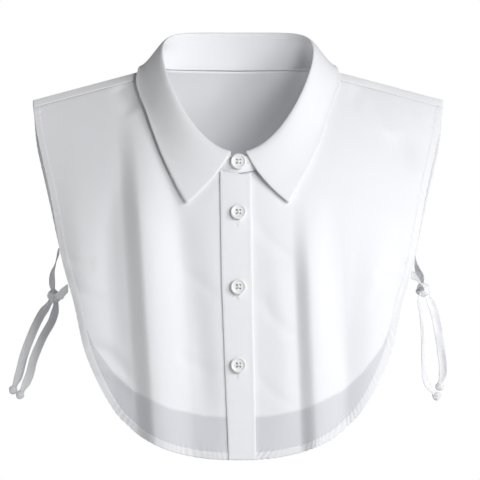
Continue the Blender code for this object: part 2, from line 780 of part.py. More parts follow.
def knot_point(name, turn):
    """The middle of a knot, as a point of a route."""
    knot = KNOTS[name]
    return RoutePoint(knot.x, knot.y, knot.z, turn)


def outside_knot(points, name):
    """Which points lie clear of a knot."""
    knot = KNOTS[name]
    lean = math.radians(knot.tilt)
    x, y, z = points[:, 0] - knot.x, points[:, 1] - knot.y, points[:, 2] - knot.z
    along = x * math.cos(lean) - z * math.sin(lean)
    up = x * math.sin(lean) + z * math.cos(lean)
    half = [0.5 * side + SEAM_GAP for side in knot.size]
    return (along / half[0]) ** 2 + (y / half[1]) ** 2 + (up / half[2]) ** 2 > 1.0


def edge_point(tie):
    """Where a tie leaves its panel's edge."""
    outline = FRONT_OUTLINE if tie.face > 0 else BACK_OUTLINE
    depths = [-row.z for row in outline]
    half = np.interp(-tie.exit_z, depths, [row.half_width for row in outline])
    half = half + (BACK_EASE if tie.face < 0 else 0.0)
    x = tie.side * half
    place = form_point(x, tie.face * (ridge_z(x) - tie.exit_z))
    return RoutePoint(place[0] + tie.side * TIE_EDGE_GAP, place[1], place[2], 0.0)


def tie_strip(route, knots, axis):
    """The tape's grid of points along a route, cut off where it enters its knots.

    A turn of 0 lays the width square to the route and to the axis.
    """
    fine, _ = fine_curve(route)
    clear = np.ones(len(fine), bool)
    for knot in knots:
        clear &= outside_knot(fine[:, :3], knot)
    first, last = np.flatnonzero(clear)[[0, -1]]
    fine = fine[first : last + 1]
    length = np.linalg.norm(np.diff(fine[:, :3], axis=0), axis=1).sum()
    places = np.linspace(0, len(fine) - 1, max(4, round(length / TIE_STEP)) + 1)
    run = fine[np.round(places).astype(int)]
    line, turn = run[:, :3], np.radians(run[:, 3])
    along = np.gradient(line, axis=0)
    along /= np.linalg.norm(along, axis=1, keepdims=True)
    level = np.cross(along, np.array(axis))
    level /= np.linalg.norm(level, axis=1, keepdims=True)
    depth = np.cross(level, along)
    across = level * np.cos(turn)[:, None] + depth * np.sin(turn)[:, None]
    width = np.full(len(line), TIE_WIDTH)
    for knot in knots:
        middle = np.array(knot_point(knot, 0.0)[:3])
        away = np.linalg.norm(line - middle, axis=1) - 0.5 * KNOTS[knot].size[2]
        width *= 1.0 - GATHER * (1.0 - smooth(away / GATHER_LENGTH))
    edges = [line + across * (width * k)[:, None] for k in (-0.5, 0.0, 0.5)]
    return np.stack(edges, axis=1)


def add_ties(collection):
    """Four tapes, two a side, each in a lead to the knot and a tail from it."""
    for tie in TIES:
        knot, end = tie.knot, f"{tie.name}_end_knot"
        bends, tail = LEAD_POINTS[tie.name], TAIL_POINTS[tie.name]
        lead_route = [edge_point(tie), *bends, knot_point(knot, bends[-1].turn)]
        tail_route = [knot_point(knot, tail[0].turn), *tail, knot_point(end, tail[-1].turn)]
        lead_strip = tie_strip(lead_route, [knot], (1.0, 0.0, 0.0))
        tail_strip = tie_strip(tail_route, [knot, end], (0.0, 1.0, 0.0))
        add_sheet(f"{tie.name}_lead", lead_strip, TIE_WALL, collection)
        add_sheet(f"{tie.name}_tail", tail_strip, TIE_WALL, collection)
    for name, knot in KNOTS.items():
        ball = bmesh.new()
        size = Matrix.Diagonal((*(0.5 * side for side in knot.size), 1.0))
        bmesh.ops.create_uvsphere(
            ball, u_segments=KNOT_SEGMENTS, v_segments=KNOT_RINGS, radius=1.0, matrix=size
        )
        mesh = bpy.data.meshes.new(name)
        ball.to_mesh(mesh)
        ball.free()
        mesh.shade_smooth()
        item = keep(name, mesh, collection, CLOTH)
        item.location = (knot.x, knot.y, knot.z)
        item.rotation_euler = (0.0, math.radians(knot.tilt), 0.0)


def main():
    """Clears the scene and models the dickey."""
    for item in list(bpy.data.objects):
        bpy.data.objects.remove(item)
    collection = bpy.data.collections.new("dickey")
    cutters = bpy.data.collections.new("cutters")
    bpy.context.scene.collection.children.link(collection)
    bpy.context.scene.collection.children.link(cutters)
    add_front("front_right", -1, collection)
    add_front("front_left", 1, collection)
    add_back(collection)
    add_sheet("placket", placket_surface(), PANEL_WALL, collection)
    add_sheet("collar_stand", stand_surface(), COLLAR_WALL, collection)
    add_sheet("collar_fall", fall_surface(), COLLAR_WALL, collection)
    add_buttons(collection, cutters)
    add_ties(collection)


main()
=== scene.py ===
"""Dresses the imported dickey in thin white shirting, with its hems, stitches, buttons and ties.

Metres, +Z up. The front faces -Y, and +X is the right-hand side of the front view.
"""

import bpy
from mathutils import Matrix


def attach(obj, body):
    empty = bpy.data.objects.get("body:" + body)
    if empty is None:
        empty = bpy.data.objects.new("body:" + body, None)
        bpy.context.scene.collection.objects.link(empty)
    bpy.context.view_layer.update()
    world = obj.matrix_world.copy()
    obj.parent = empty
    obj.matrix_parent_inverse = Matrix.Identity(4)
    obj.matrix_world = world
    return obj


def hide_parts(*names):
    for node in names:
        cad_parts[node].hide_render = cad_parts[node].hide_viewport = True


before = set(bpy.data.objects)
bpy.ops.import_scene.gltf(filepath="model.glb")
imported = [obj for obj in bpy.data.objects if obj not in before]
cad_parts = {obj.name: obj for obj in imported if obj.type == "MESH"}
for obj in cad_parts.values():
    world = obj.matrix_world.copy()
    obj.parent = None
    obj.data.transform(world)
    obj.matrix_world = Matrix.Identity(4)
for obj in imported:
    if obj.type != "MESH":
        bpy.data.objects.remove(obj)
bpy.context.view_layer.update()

import logging
import math
from dataclasses import dataclass, field
from enum import Enum

import bmesh
import bpy
import numpy as np

Array = np.ndarray
log = logging.getLogger("dickey")

Colour = tuple[float, float, float, float]

MIX_FIRST, MIX_SECOND, MIX_RESULT = 6, 7, 2
CURVE_STEPS = 24
RIM_SHARE = 0.45
LAP_START = 150.0
LAP_SPREAD = 18.0
HEM_INSET = 0.0058
STITCH_PITCH = 0.0026
STITCH_LENGTH = 0.0020
STITCH_AHEAD = 0.0008
THREAD_WIDTH = 0.00034


# Small tools for curves and grids


def smooth(value: Array) -> Array:
    """Eases from 0 to 1 with level ends: 3t^2 - 2t^3."""
    value = np.clip(value, 0.0, 1.0)
    return value * value * (3.0 - 2.0 * value)


def bell(value: Array) -> Array:
    """A soft hump of height 1 round zero: e^(-value^2)."""
    return np.exp(-(value**2))


def unit(vectors: Array) -> Array:
    """The same directions with length 1."""
    return vectors / np.maximum(np.linalg.norm(vectors, axis=-1, keepdims=True), 1e-12)


def uneven(along: Array, wave: float, seed: float) -> Array:
    """An irregular wave between about -1 and 1.

    Three sines whose lengths share no common measure are added.

    Args:
        along: Places along a line, in metres.
        wave: The middle wavelength, in metres.
        seed: A phase that makes one line differ from the next.

    Returns:
        The wave's value at each place.
    """
    turn = 2.0 * math.pi * along / wave
    slow = np.sin(0.618 * turn + 1.7 * seed)
    main = np.sin(turn + 3.1 * seed)
    fast = np.sin(1.414 * turn + 5.3 * seed)
    return 0.42 * slow + 0.36 * main + 0.30 * fast


def fine_curve(points: Array, steps: int = CURVE_STEPS) -> tuple[Array, Array]:
    """A smooth curve through points, by the cubic whose slopes are half the neighbours' span.

    Args:
        points: The points, one a row.
        steps: Pieces between two of them.

    Returns:
        The curve's points and the length up to each.
    """
    points = np.asarray(points, float)
    rows = np.vstack([2.0 * points[0] - points[1], points, 2.0 * points[-1] - points[-2]])
    a, b, c, d = rows[:-3, None], rows[1:-2, None], rows[2:-1, None], rows[3:, None]
    t = np.linspace(0.0, 1.0, steps, endpoint=False)[None, :, None]
    bend = 2 * a - 5 * b + 4 * c - d
    twist = 3 * b - a - 3 * c + d
    fine = 0.5 * (2 * b + (c - a) * t + bend * t**2 + twist * t**3)
    fine = np.vstack([fine.reshape(-1, points.shape[1]), points[-1:]])
    return fine, run_lengths(fine)


def run_lengths(line: Array) -> Array:
    """The length of a line up to each of its points."""
    runs = np.linalg.norm(np.diff(line, axis=0), axis=1)
    return np.concatenate([[0.0], np.cumsum(runs)])


def read_curve(fine: Array, along: Array, wanted: Array) -> Array:
    """A curve's points at given lengths along it."""
    columns = [np.interp(wanted, along, fine[:, k]) for k in range(fine.shape[1])]
    return np.stack(columns, axis=1)


def smooth_table(known: Array, values: Array, wanted: Array) -> Array:
    """A table read by a cubic that has the slopes of its neighbours.

    Args:
        known: The table's places, rising.
        values: The value at each.
        wanted: The places to read.

    Returns:
        The values there.
    """
    known, values = np.asarray(known, float), np.asarray(values, float)
    steps = np.diff(values) / np.diff(known)
    slopes = np.concatenate([[steps[0]], 0.5 * (steps[1:] + steps[:-1]), [steps[-1]]])
    wanted = np.clip(wanted, known[0], known[-1])
    i = np.clip(np.searchsorted(known, wanted) - 1, 0, len(known) - 2)
    width = known[i + 1] - known[i]
    t = (wanted - known[i]) / width
    start = values[i] * (1 + 2 * t) * (1 - t) ** 2 + slopes[i] * width * t * (1 - t) ** 2
    end = values[i + 1] * t * t * (3 - 2 * t) - slopes[i + 1] * width * t * t * (1 - t)
    return start + end


def nearest_on(line: Array, x: Array, z: Array) -> tuple[Array, Array]:
    """How far flat points lie from a line, and where along it.

    Each point is dropped square onto each piece of the line, and the nearest is kept.

    Args:
        line: The line's points, one (x, z) a row.
        x: Places across.
        z: Heights, in the same shape.

    Returns:
        The distance and the length along the line, in the shape of x.
    """
    spots = np.stack([x.ravel(), z.ravel()], axis=1)
    start, run = line[:-1], np.diff(line, axis=0)
    square = np.maximum((run**2).sum(axis=1), 1e-16)
    lengths = np.sqrt(square)
    before = np.concatenate([[0.0], np.cumsum(lengths)[:-1]])
    distance, along = np.empty(len(spots)), np.empty(len(spots))
    for first in range(0, len(spots), 4096):
        part = slice(first, first + 4096)
        away = spots[part, None, :] - start[None]
        t = np.clip((away * run[None]).sum(axis=2) / square, 0.0, 1.0)
        off = np.linalg.norm(away - t[..., None] * run[None], axis=2)
        best = off.argmin(axis=1)
        rows = np.arange(len(best))
        distance[part] = off[rows, best]
        along[part] = before[best] + t[rows, best] * lengths[best]
    return distance.reshape(x.shape), along.reshape(x.shape)


def crowded(count: int, start: float, end: float) -> Array:
    """Shares from 0 to 1 that crowd towards the ends.

    The steps follow a density of 1, raised by a soft hump of its own height at each end.

    Args:
        count: Steps in all.
        start: How strongly they crowd at 0: five times as dense at 1.
        end: How strongly they crowd at 1.

    Returns:
        count + 1 shares.
    """
    fine = np.linspace(0.0, 1.0, 2001)
    density = 1.0 + 4.0 * start * bell(fine / 0.09) + 4.0 * end * bell((1.0 - fine) / 0.09)
    grown = np.concatenate([[0.0], np.cumsum(0.5 * (density[1:] + density[:-1]))])
    return np.interp(np.linspace(0.0, grown[-1], count + 1), grown, fine)


def coons(top: Array, bottom: Array, inner: Array, outer: Array, u: Array, v: Array) -> Array:
    """A grid filled in between four edges: across plus down, less the corners' own plane.

    Args:
        top: The top edge's points at the shares u.
        bottom: The bottom edge's, at the same shares.
        inner: The first column's points at the shares v.
        outer: The last column's.
        u: Shares across.
        v: Shares down.

    Returns:
        The grid, rows by columns by coordinates.
    """
    u, v = u[None, :, None], v[:, None, None]
    across = (1 - v) * top[None] + v * bottom[None]
    down = (1 - u) * inner[:, None] + u * outer[:, None]
    upper = (1 - u) * top[0] + u * top[-1]
    lower = (1 - u) * bottom[0] + u * bottom[-1]
    return across + down - (1 - v) * upper - v * lower


def grid_normal(points: Array) -> Array:
    """A grid's own outward direction: its step down crossed with its step across."""
    return unit(np.cross(np.gradient(points, axis=0), np.gradient(points, axis=1)))


def cloth_lengths(points: Array) -> Array:
    """A flat (u, v) in metres for each grid point: lengths measured along the cloth.

    Args:
        points: The grid.

    Returns:
        The flat places, rows by columns by two.
    """
    across = np.linalg.norm(np.diff(points, axis=1), axis=2)
    down = np.linalg.norm(np.diff(points, axis=0), axis=2)
    u = np.pad(np.cumsum(across, axis=1), ((0, 0), (1, 0)))
    v = np.pad(np.cumsum(down, axis=0), ((1, 0), (0, 0)))
    return np.stack([u - u[:, :1], -v], axis=-1)


# Meshes


def make_object(
    name: str, points: Array, faces: list, uv: Array | None = None, painted_shade: Array | None = None
) -> bpy.types.Object:
    """A smooth mesh object from arrays.

    Args:
        name: The piece's name.
        points: Vertices, one a row.
        faces: Lists of vertex numbers.
        uv: A flat place in metres for each vertex, or else its X and Z.
        painted_shade: A brightness of painted shade for each vertex, or else 1, where the cloth is
            plain.

    Returns:
        The new object, at the origin.
    """
    uv = points[:, [0, 2]] if uv is None else uv
    painted_shade = np.ones(len(points)) if painted_shade is None else painted_shade
    mesh = bpy.data.meshes.new(name)
    mesh.from_pydata(points.tolist(), [], faces)
    layer = mesh.uv_layers.new(name="cloth")
    corners = np.empty(len(mesh.loops), dtype=np.int32)
    mesh.loops.foreach_get("vertex_index", corners)
    layer.data.foreach_set("uv", uv[corners].astype(np.float32).ravel())
    # Painted shade is stored per vertex as an attribute that the cloth material reads.
    shade = mesh.attributes.new("painted_shade", "FLOAT", "POINT")
    shade.data.foreach_set("value", painted_shade.astype(np.float32))
    mesh.shade_smooth()
    item = bpy.data.objects.new(name, mesh)
    bpy.context.scene.collection.objects.link(item)
    return item


def grid_faces(rows: int, columns: int, first: int = 0) -> Array:
    """The quads of a grid whose vertices start at a number."""
    index = first + np.arange(rows * columns).reshape(rows, columns)
    corners = [index[:-1, :-1], index[1:, :-1], index[1:, 1:], index[:-1, 1:]]
    return np.stack([corner.ravel() for corner in corners], axis=1)


def tube_faces(rows: int, sides: int) -> Array:
    """The quads of rings of points, each ring closed on itself.

    Args:
        rows: Rings.
        sides: Points in a ring.

    Returns:
        The quads as vertex numbers.
    """
    index = np.arange(rows * sides).reshape(rows, sides)
    turned = np.roll(index, -1, axis=1)
    corners = [index[:-1], index[1:], turned[1:], turned[:-1]]
    return np.stack([corner.ravel() for corner in corners], axis=1)


def closed_sheet(
    name: str, points: Array, wall: float, painted_shade: Array | None = None
) -> bpy.types.Object:
    """A closed sheet of cloth round a grid.

    The outer face is the grid moved out by half the wall along its normal, the inner face is
    moved in, and a ring half a wall outside the edge rounds it off like a fold.

    Args:
        name: The piece's name.
        points: The grid, its normal facing out of the garment.
        wall: The cloth's thickness.
        painted_shade: A brightness of painted shade for each grid point.

    Returns:
        The new object.
    """
    rows, columns = points.shape[:2]
    count = rows * columns
    painted_shade = np.ones((rows, columns)) if painted_shade is None else painted_shade
    normal = grid_normal(points) * (0.5 * wall)
    away = np.zeros_like(points)
    away[0] += unit(points[0] - points[1])
    away[-1] += unit(points[-1] - points[-2])
    away[:, 0] += unit(points[:, 0] - points[:, 1])
    away[:, -1] += unit(points[:, -1] - points[:, -2])
    index = np.arange(count).reshape(rows, columns)
    edge = np.concatenate(
        [index[:, 0], index[-1, 1:], index[-2::-1, -1], index[0, -2:0:-1]]
    )
    ring = (points + unit(away) * (RIM_SHARE * wall)).reshape(-1, 3)[edge]
    vertices = np.vstack([(points + normal).reshape(-1, 3), (points - normal).reshape(-1, 3), ring])
    outer = grid_faces(rows, columns)
    inner = grid_faces(rows, columns, count)[:, ::-1]
    following = np.roll(edge, -1)
    middle = 2 * count + np.arange(len(edge))
    next_middle = np.roll(middle, -1)
    rim_out = np.stack([following, edge, middle, next_middle], axis=1)
    rim_in = np.stack([next_middle, middle, edge + count, following + count], axis=1)
    faces = np.vstack([outer, inner, rim_out, rim_in]).tolist()
    flat = cloth_lengths(points).reshape(-1, 2)
    shade = painted_shade.ravel()
    return make_object(
        name,
        vertices,
        faces,
        np.vstack([flat, flat, flat[edge]]),
        np.concatenate([shade, shade, shade[edge]]),
    )


def joined_sheet(name: str, grids: list[Array], wall: float) -> bpy.types.Object:
    """A sheet of several grids that share edges, given its wall by Solidify.

    Args:
        name: The piece's name.
        grids: The grids, each with its normal facing out of the garment.
        wall: The cloth's thickness.

    Returns:
        The new object.
    """
    vertices, faces, flats, first = [], [], [], 0
    for points in grids:
        rows, columns = points.shape[:2]
        vertices.append(points.reshape(-1, 3))
        faces.append(grid_faces(rows, columns, first))
        flats.append(np.stack([points[..., 0], points[..., 2]], axis=-1).reshape(-1, 2))
        first += rows * columns
    stacked = np.vstack(vertices)
    _, kept, where = np.unique(
        np.round(stacked, 6), axis=0, return_index=True, return_inverse=True
    )
    welded = where.ravel()[np.vstack(faces)]
    item = make_object(name, stacked[kept], welded.tolist(), np.vstack(flats)[kept])
    solidify = item.modifiers.new("Wall", "SOLIDIFY")
    solidify.thickness = wall
    solidify.offset = 0.0
    solidify.use_even_offset = True
    return item


def swept_tube(path: Array, radius: Array, sides: int = 8) -> tuple[Array, Array]:
    """A closed round tube along a path.

    Each ring is the path's point plus the radius times (cos a, sin a) in the plane square to it.

    Args:
        path: The path's points.
        radius: The radius at each.
        sides: Points round a ring.

    Returns:
        The vertices, and the quads as vertex numbers. The ends are closed by their small radius.
    """
    along = unit(np.gradient(path, axis=0))
    helper = np.where(np.abs(along[:, 2:]) > 0.9, [[1.0, 0.0, 0.0]], [[0.0, 0.0, 1.0]])
    side = unit(np.cross(along, helper))
    other = np.cross(along, side)
    turn = np.linspace(0.0, 2.0 * math.pi, sides, endpoint=False)
    ring = side[:, None] * np.cos(turn)[None, :, None]
    ring = ring + other[:, None] * np.sin(turn)[None, :, None]
    points = path[:, None] + ring * radius[:, None, None]
    return points.reshape(-1, 3), tube_faces(len(path), sides)


def stitches_object(
    name: str, rows: list[tuple], length: Array | float, thick: float = THREAD_WIDTH
) -> bpy.types.Object:
    """Many sewn stitches in one mesh.

    Each is a four-sided spindle: five rings along its run, fattest in the middle, arched so that
    its ends sink into the cloth.

    Args:
        name: The piece's name.
        rows: For each row, the places on the cloth, places a little ahead of them, and the
            cloth's outward directions.
        length: The length of each stitch.
        thick: The thread's thickness.

    Returns:
        The new object.
    """
    middles, aheads, normals = (np.vstack(part) for part in zip(*rows))
    length = np.broadcast_to(length, len(middles))
    rings, sides_round = 5, 4
    share = np.linspace(-0.5, 0.5, rings)
    width = 0.5 * thick * np.array([0.35, 0.9, 1.0, 0.9, 0.35])
    lift = thick * np.array([-0.30, 0.16, 0.30, 0.16, -0.30])
    turn = np.linspace(0.0, 2.0 * math.pi, sides_round, endpoint=False) + math.pi / 4
    runs, normals = unit(aheads - middles), unit(normals)
    sides = unit(np.cross(runs, normals))
    spine = middles[:, None] + runs[:, None] * (share[None, :] * length[:, None])[..., None]
    spine = spine + normals[:, None] * lift[None, :, None]
    offset = (
        sides[:, None, None] * np.cos(turn)[None, None, :, None]
        + normals[:, None, None] * np.sin(turn)[None, None, :, None]
    )
    points = spine[:, :, None] + offset * width[None, :, None, None]
    quads = np.roll(tube_faces(rings, sides_round)[:, ::-1], 1, axis=1)
    local = np.vstack([quads, [[0, 3, 2, 1], [16, 17, 18, 19]]])
    starts = rings * sides_round * np.arange(len(middles))
    faces = (local[None] + starts[:, None, None]).reshape(-1, 4)
    item = make_object(name, points.reshape(-1, 3), faces.tolist())
    mend(item)
    return item


def hem_places(fine: Array, start: float, end: float) -> tuple[Array, Array]:
    """Flat places of the stitches inside a hem's edge.

    Args:
        fine: The edge's points.
        start: How far along it the first stitch lies.
        end: How far before its end they stop.

    Returns:
        The places, and places a little ahead of them.
    """
    run = unit(np.gradient(fine, axis=0))
    line = fine + np.stack([run[:, 1], -run[:, 0]], axis=-1) * HEM_INSET
    lengths = run_lengths(line)
    spots = np.arange(start, lengths[-1] - end, STITCH_PITCH)
    return read_curve(line, lengths, spots), read_curve(line, lengths, spots + STITCH_AHEAD)


def mend(item: bpy.types.Object, weld: float = 0.0, fill: bool = False) -> None:
    """Turns every face of a closed mesh outwards, once it is welded and its holes are filled.

    Args:
        item: The mesh object.
        weld: The distance within which vertices are welded.
        fill: Whether open ends are closed.
    """
    shell = bmesh.new()
    shell.from_mesh(item.data)
    if weld:
        bmesh.ops.remove_doubles(shell, verts=shell.verts, dist=weld)
    if fill:
        bmesh.ops.holes_fill(shell, edges=shell.edges, sides=0)
    bmesh.ops.recalc_face_normals(shell, faces=shell.faces)
    shell.to_mesh(item.data)
    shell.free()


def panel_edges(
    fine: Array, along: Array, corner: int, u: Array, v: Array
) -> tuple[Array, Array]:
    """A panel's side edge at the shares v and its hem at the shares u, split at a corner."""
    split = along[corner * CURVE_STEPS]
    side = read_curve(fine, along, v * split)
    return side, read_curve(fine, along, along[-1] + u * (split - along[-1]))


# Finishes


class Slot(Enum):
    """The record's material slots."""

    CLOTH = "white_shirting"
    BUTTON = "button_white"


def new_material(
    name: str, **settings: float
) -> tuple[bpy.types.Material, bpy.types.NodeTree, bpy.types.Node]:
    """A material whose shader's named inputs are set.

    Args:
        name: Its name.
        settings: The shader's inputs, named with _ for a space.

    Returns:
        The material, its nodes and its shader.
    """
    made = bpy.data.materials.new(name)
    made.use_nodes = True
    shader = made.node_tree.nodes["Principled BSDF"]
    for key, value in settings.items():
        shader.inputs[key.replace("_", " ")].default_value = value
    return made, made.node_tree, shader


def add_node(
    tree: bpy.types.NodeTree,
    kind: str,
    source: bpy.types.NodeSocket | None = None,
    **settings: float,
) -> bpy.types.Node:
    """A shader node whose named inputs are set.

    Args:
        tree: The material's nodes.
        kind: The node's type, without its first word.
        source: A socket that feeds its Vector, or else its first input.
        settings: Its inputs, named with _ for a space.

    Returns:
        The new node.
    """
    node = tree.nodes.new(f"ShaderNode{kind}")
    for key, value in settings.items():
        node.inputs[key.replace("_", " ")].default_value = value
    if source is not None:
        tree.links.new(source, node.inputs.get("Vector", node.inputs[0]))
    return node


def blend(
    tree: bpy.types.NodeTree,
    factor: bpy.types.NodeSocket,
    first: Colour,
    second: Colour | bpy.types.NodeSocket,
) -> bpy.types.NodeSocket:
    """A colour between two.

    Args:
        tree: The material's nodes.
        factor: The second colour's share.
        first: A colour.
        second: A colour or a socket that gives one.

    Returns:
        The blended colour.
    """
    mix = tree.nodes.new("ShaderNodeMix")
    mix.data_type = "RGBA"
    mix.inputs[MIX_FIRST].default_value = first
    if isinstance(second, tuple):
        mix.inputs[MIX_SECOND].default_value = second
    else:
        tree.links.new(second, mix.inputs[MIX_SECOND])
    tree.links.new(factor, mix.inputs["Factor"])
    return mix.outputs[MIX_RESULT]


@dataclass(frozen=True)
class Shirting:
    """Thin white plain-woven cloth: fine threads, slubs along them, a faint cool cast, and a grey
    for painted shade.
    """

    name: str = "shirting"
    light: Colour = (0.835, 0.838, 0.862, 1.0)
    shade: Colour = (0.785, 0.790, 0.825, 1.0)
    # Painted shade: the grey that the sheer front is blended towards where no back lies behind it.
    unbacked_painted_shade: Colour = (0.560, 0.566, 0.605, 1.0)
    shade_share: float = 0.45
    threads: float = 2100.0
    wave_scale: float = 0.314
    slub_stretch: tuple[float, float, float] = (260.0, 2600.0, 1.0)
    cross_stretch: tuple[float, float, float] = (2600.0, 260.0, 1.0)
    crumple_stretch: tuple[float, float, float] = (38.0, 30.0, 1.0)
    thread_depth: float = 0.00004
    crumple_depth: float = 0.00035
    roughness: float = 0.88
    sheen: float = 0.16

    def material(self) -> bpy.types.Material:
        """The cloth's material, on its own flat UV map in metres.

        Two wave textures, one along each thread direction, are multiplied into a plain weave.
        Stretched noise gives the slubs, broad noise the slight crumple, and a vertex attribute
        blends in painted shade where the sheer front has no back behind it.

        Returns:
            The material.
        """
        made, tree, shader = new_material(
            self.name,
            Roughness=self.roughness,
            Specular_IOR_Level=0.22,
            Sheen_Weight=self.sheen,
            Sheen_Roughness=0.55,
        )
        flat = tree.nodes.new("ShaderNodeUVMap")
        flat.uv_map = "cloth"
        place = flat.outputs["UV"]
        slubs = self._noise(tree, place, self.slub_stretch, 2.0)
        cross = self._noise(tree, place, self.cross_stretch, 2.0)
        both = self._joined(tree, "ADD", slubs, cross)
        spread = tree.nodes.new("ShaderNodeMapRange")
        spread.inputs["From Min"].default_value = 0.7
        spread.inputs["From Max"].default_value = 1.3
        tree.links.new(both, spread.inputs["Value"])
        share = self.shade_share
        darker = tuple((1 - share) * a + share * b for a, b in zip(self.light, self.shade))
        colour = blend(tree, spread.outputs["Result"], self.light, darker)
        # Painted shade: a vertex attribute blends the cloth towards a grey where the sheer front
        # has no back behind it.
        painted_shade = tree.nodes.new("ShaderNodeAttribute")
        painted_shade.attribute_name = "painted_shade"
        colour_with_painted_shade = blend(tree, painted_shade.outputs["Fac"], self.unbacked_painted_shade, colour)
        tree.links.new(colour_with_painted_shade, shader.inputs["Base Color"])
        crumple = self._noise(tree, place, self.crumple_stretch, 3.0)
        low = self._bump(tree, crumple, self.crumple_depth, None)
        weave = self._joined(tree, "MULTIPLY", *(self._wave(tree, place, way) for way in "XY"))
        high = self._bump(tree, weave, self.thread_depth, low)
        tree.links.new(high, shader.inputs["Normal"])
        return made

    def _joined(
        self, tree: bpy.types.NodeTree, operation: str, *parts: bpy.types.NodeSocket
    ) -> bpy.types.NodeSocket:
        """Two values added or multiplied.

        Args:
            tree: The material's nodes.
            operation: ADD or MULTIPLY.
            parts: The two values.

        Returns:
            The result.
        """
        node = tree.nodes.new("ShaderNodeMath")
        node.operation = operation
        for part, slot in zip(parts, node.inputs):
            tree.links.new(part, slot)
        return node.outputs[0]

    def _wave(
        self, tree: bpy.types.NodeTree, place: bpy.types.NodeSocket, way: str
    ) -> bpy.types.NodeSocket:
        """The threads' wave along one direction.

        Args:
            tree: The material's nodes.
            place: The flat place.
            way: X or Y.

        Returns:
            The wave's value.
        """
        scale = self.threads * self.wave_scale
        wave = add_node(tree, "TexWave", place, Scale=scale, Distortion=0.6, Detail=1.0)
        wave.wave_type = "BANDS"
        wave.bands_direction = way
        return wave.outputs["Fac"]

    def _noise(
        self,
        tree: bpy.types.NodeTree,
        place: bpy.types.NodeSocket,
        stretch: tuple[float, float, float],
        detail: float,
    ) -> bpy.types.NodeSocket:
        """Noise on the flat cloth.

        Args:
            tree: The material's nodes.
            place: The flat place.
            stretch: Cycles a metre across, down and through.
            detail: The noise's detail.

        Returns:
            The noise's value.
        """
        mapping = add_node(tree, "Mapping", place, Scale=stretch)
        source = mapping.outputs["Vector"]
        return add_node(tree, "TexNoise", source, Scale=1.0, Detail=detail).outputs["Fac"]

    def _bump(
        self,
        tree: bpy.types.NodeTree,
        height: bpy.types.NodeSocket,
        depth: float,
        under: bpy.types.NodeSocket | None,
    ) -> bpy.types.NodeSocket:
        """A bump of a real depth, over another.

        Args:
            tree: The material's nodes.
            height: The pattern, from 0 to 1.
            depth: Its depth in metres.
            under: The normal that it lies on.

        Returns:
            The new normal.
        """
        bump = tree.nodes.new("ShaderNodeBump")
        bump.inputs["Strength"].default_value = 1.0
        bump.inputs["Distance"].default_value = depth
        tree.links.new(height, bump.inputs["Height"])
        if under is not None:
            tree.links.new(under, bump.inputs["Normal"])
        return bump.outputs["Normal"]


@dataclass(frozen=True)
class Gloss:
    """A moulded white button: a clear gloss over a slightly clouded body."""

    name: str = "button_gloss"
    light: Colour = (0.87, 0.87, 0.86, 1.0)
    cloud: Colour = (0.78, 0.79, 0.80, 1.0)
    cloud_scale: float = 320.0
    roughness: float = 0.24

    def material(self) -> bpy.types.Material:
        """The button's material: broad noise on Object coordinates clouds its colour.

        Returns:
            The material.
        """
        made, tree, shader = new_material(
            self.name, Roughness=self.roughness, Coat_Weight=0.25, Coat_Roughness=0.12
        )
        place = tree.nodes.new("ShaderNodeTexCoord").outputs["Object"]
        noise = add_node(tree, "TexNoise", place, Scale=self.cloud_scale, Detail=2.0)
        colour = blend(tree, noise.outputs["Fac"], self.light, self.cloud)
        tree.links.new(colour, shader.inputs["Base Color"])
        return made


@dataclass(frozen=True)
class Thread:
    """White sewing thread with a fine twist."""

    name: str = "sewing_thread"
    light: Colour = (0.86, 0.86, 0.87, 1.0)
    dark: Colour = (0.70, 0.70, 0.74, 1.0)
    twist_scale: float = 160.0

    def material(self) -> bpy.types.Material:
        """The thread's material: a slanted wave on Object coordinates marks its plies.

        Returns:
            The material.
        """
        made, tree, shader = new_material(self.name, Roughness=0.6, Sheen_Weight=0.1)
        place = tree.nodes.new("ShaderNodeTexCoord").outputs["Object"]
        wave = add_node(tree, "TexWave", place, Scale=self.twist_scale)
        wave.bands_direction = "DIAGONAL"
        colour = blend(tree, wave.outputs["Fac"], self.light, self.dark)
        tree.links.new(colour, shader.inputs["Base Color"])
        return made


@dataclass(frozen=True)
class Cut:
    """A cut piece of cloth: the flat rectangle that holds it, and its area."""

    flat: tuple[float, float]
    area: float


@dataclass
class Wardrobe:
    """The finishes, and how a piece gets one."""

    cloth: Shirting = field(default_factory=Shirting)
    gloss: Gloss = field(default_factory=Gloss)
    thread: Thread = field(default_factory=Thread)

    def __post_init__(self) -> None:
        """Makes each material once."""
        self.cloth_material = self.cloth.material()
        self.gloss_material = self.gloss.material()
        self.thread_material = self.thread.material()

    def dress_nodes(self) -> None:
        """Gives every carried-over node its procedural material, shown or not."""
        for name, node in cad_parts.items():
            chosen = self.gloss_material if name.startswith("button") else self.cloth_material
            for place in node.material_slots:
                place.material = chosen

    def wear(self, item: bpy.types.Object, material: bpy.types.Material) -> None:
        """Finishes a piece and fixes it to the body.

        Args:
            item: The piece.
            material: Its material.
        """
        item.data.materials.clear()
        item.data.materials.append(material)
        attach(item, "root")

    def hang(self, node: str, cloth: bpy.types.Object, *sewn: bpy.types.Object) -> None:
        """Finishes a cut piece and its stitches, hides the node that it replaces, and logs its
        faces.

        Args:
            node: The node that it replaces.
            cloth: The piece.
            sewn: Its stitches, if it has any.
        """
        self.wear(cloth, self.cloth_material)
        for stitches in sewn:
            self.wear(stitches, self.thread_material)
        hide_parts(node)
        log.info("%s has %d faces", cloth.name, len(cloth.data.polygons))


# The worn form


@dataclass(frozen=True)
class HangingFold:
    """A ridge on the front (side 1) or the back (-1) that grows downwards, steeper one way."""

    side: int
    x_top: float
    x_end: float
    z_top: float
    z_full: float
    height: float
    left: float
    right: float


@dataclass(frozen=True)
class Crease:
    """A soft trough between two points, bowed sideways; a negative depth is a ridge."""

    x_from: float
    z_from: float
    x_to: float
    z_to: float
    depth: float
    width: float
    bow: float = 0.0


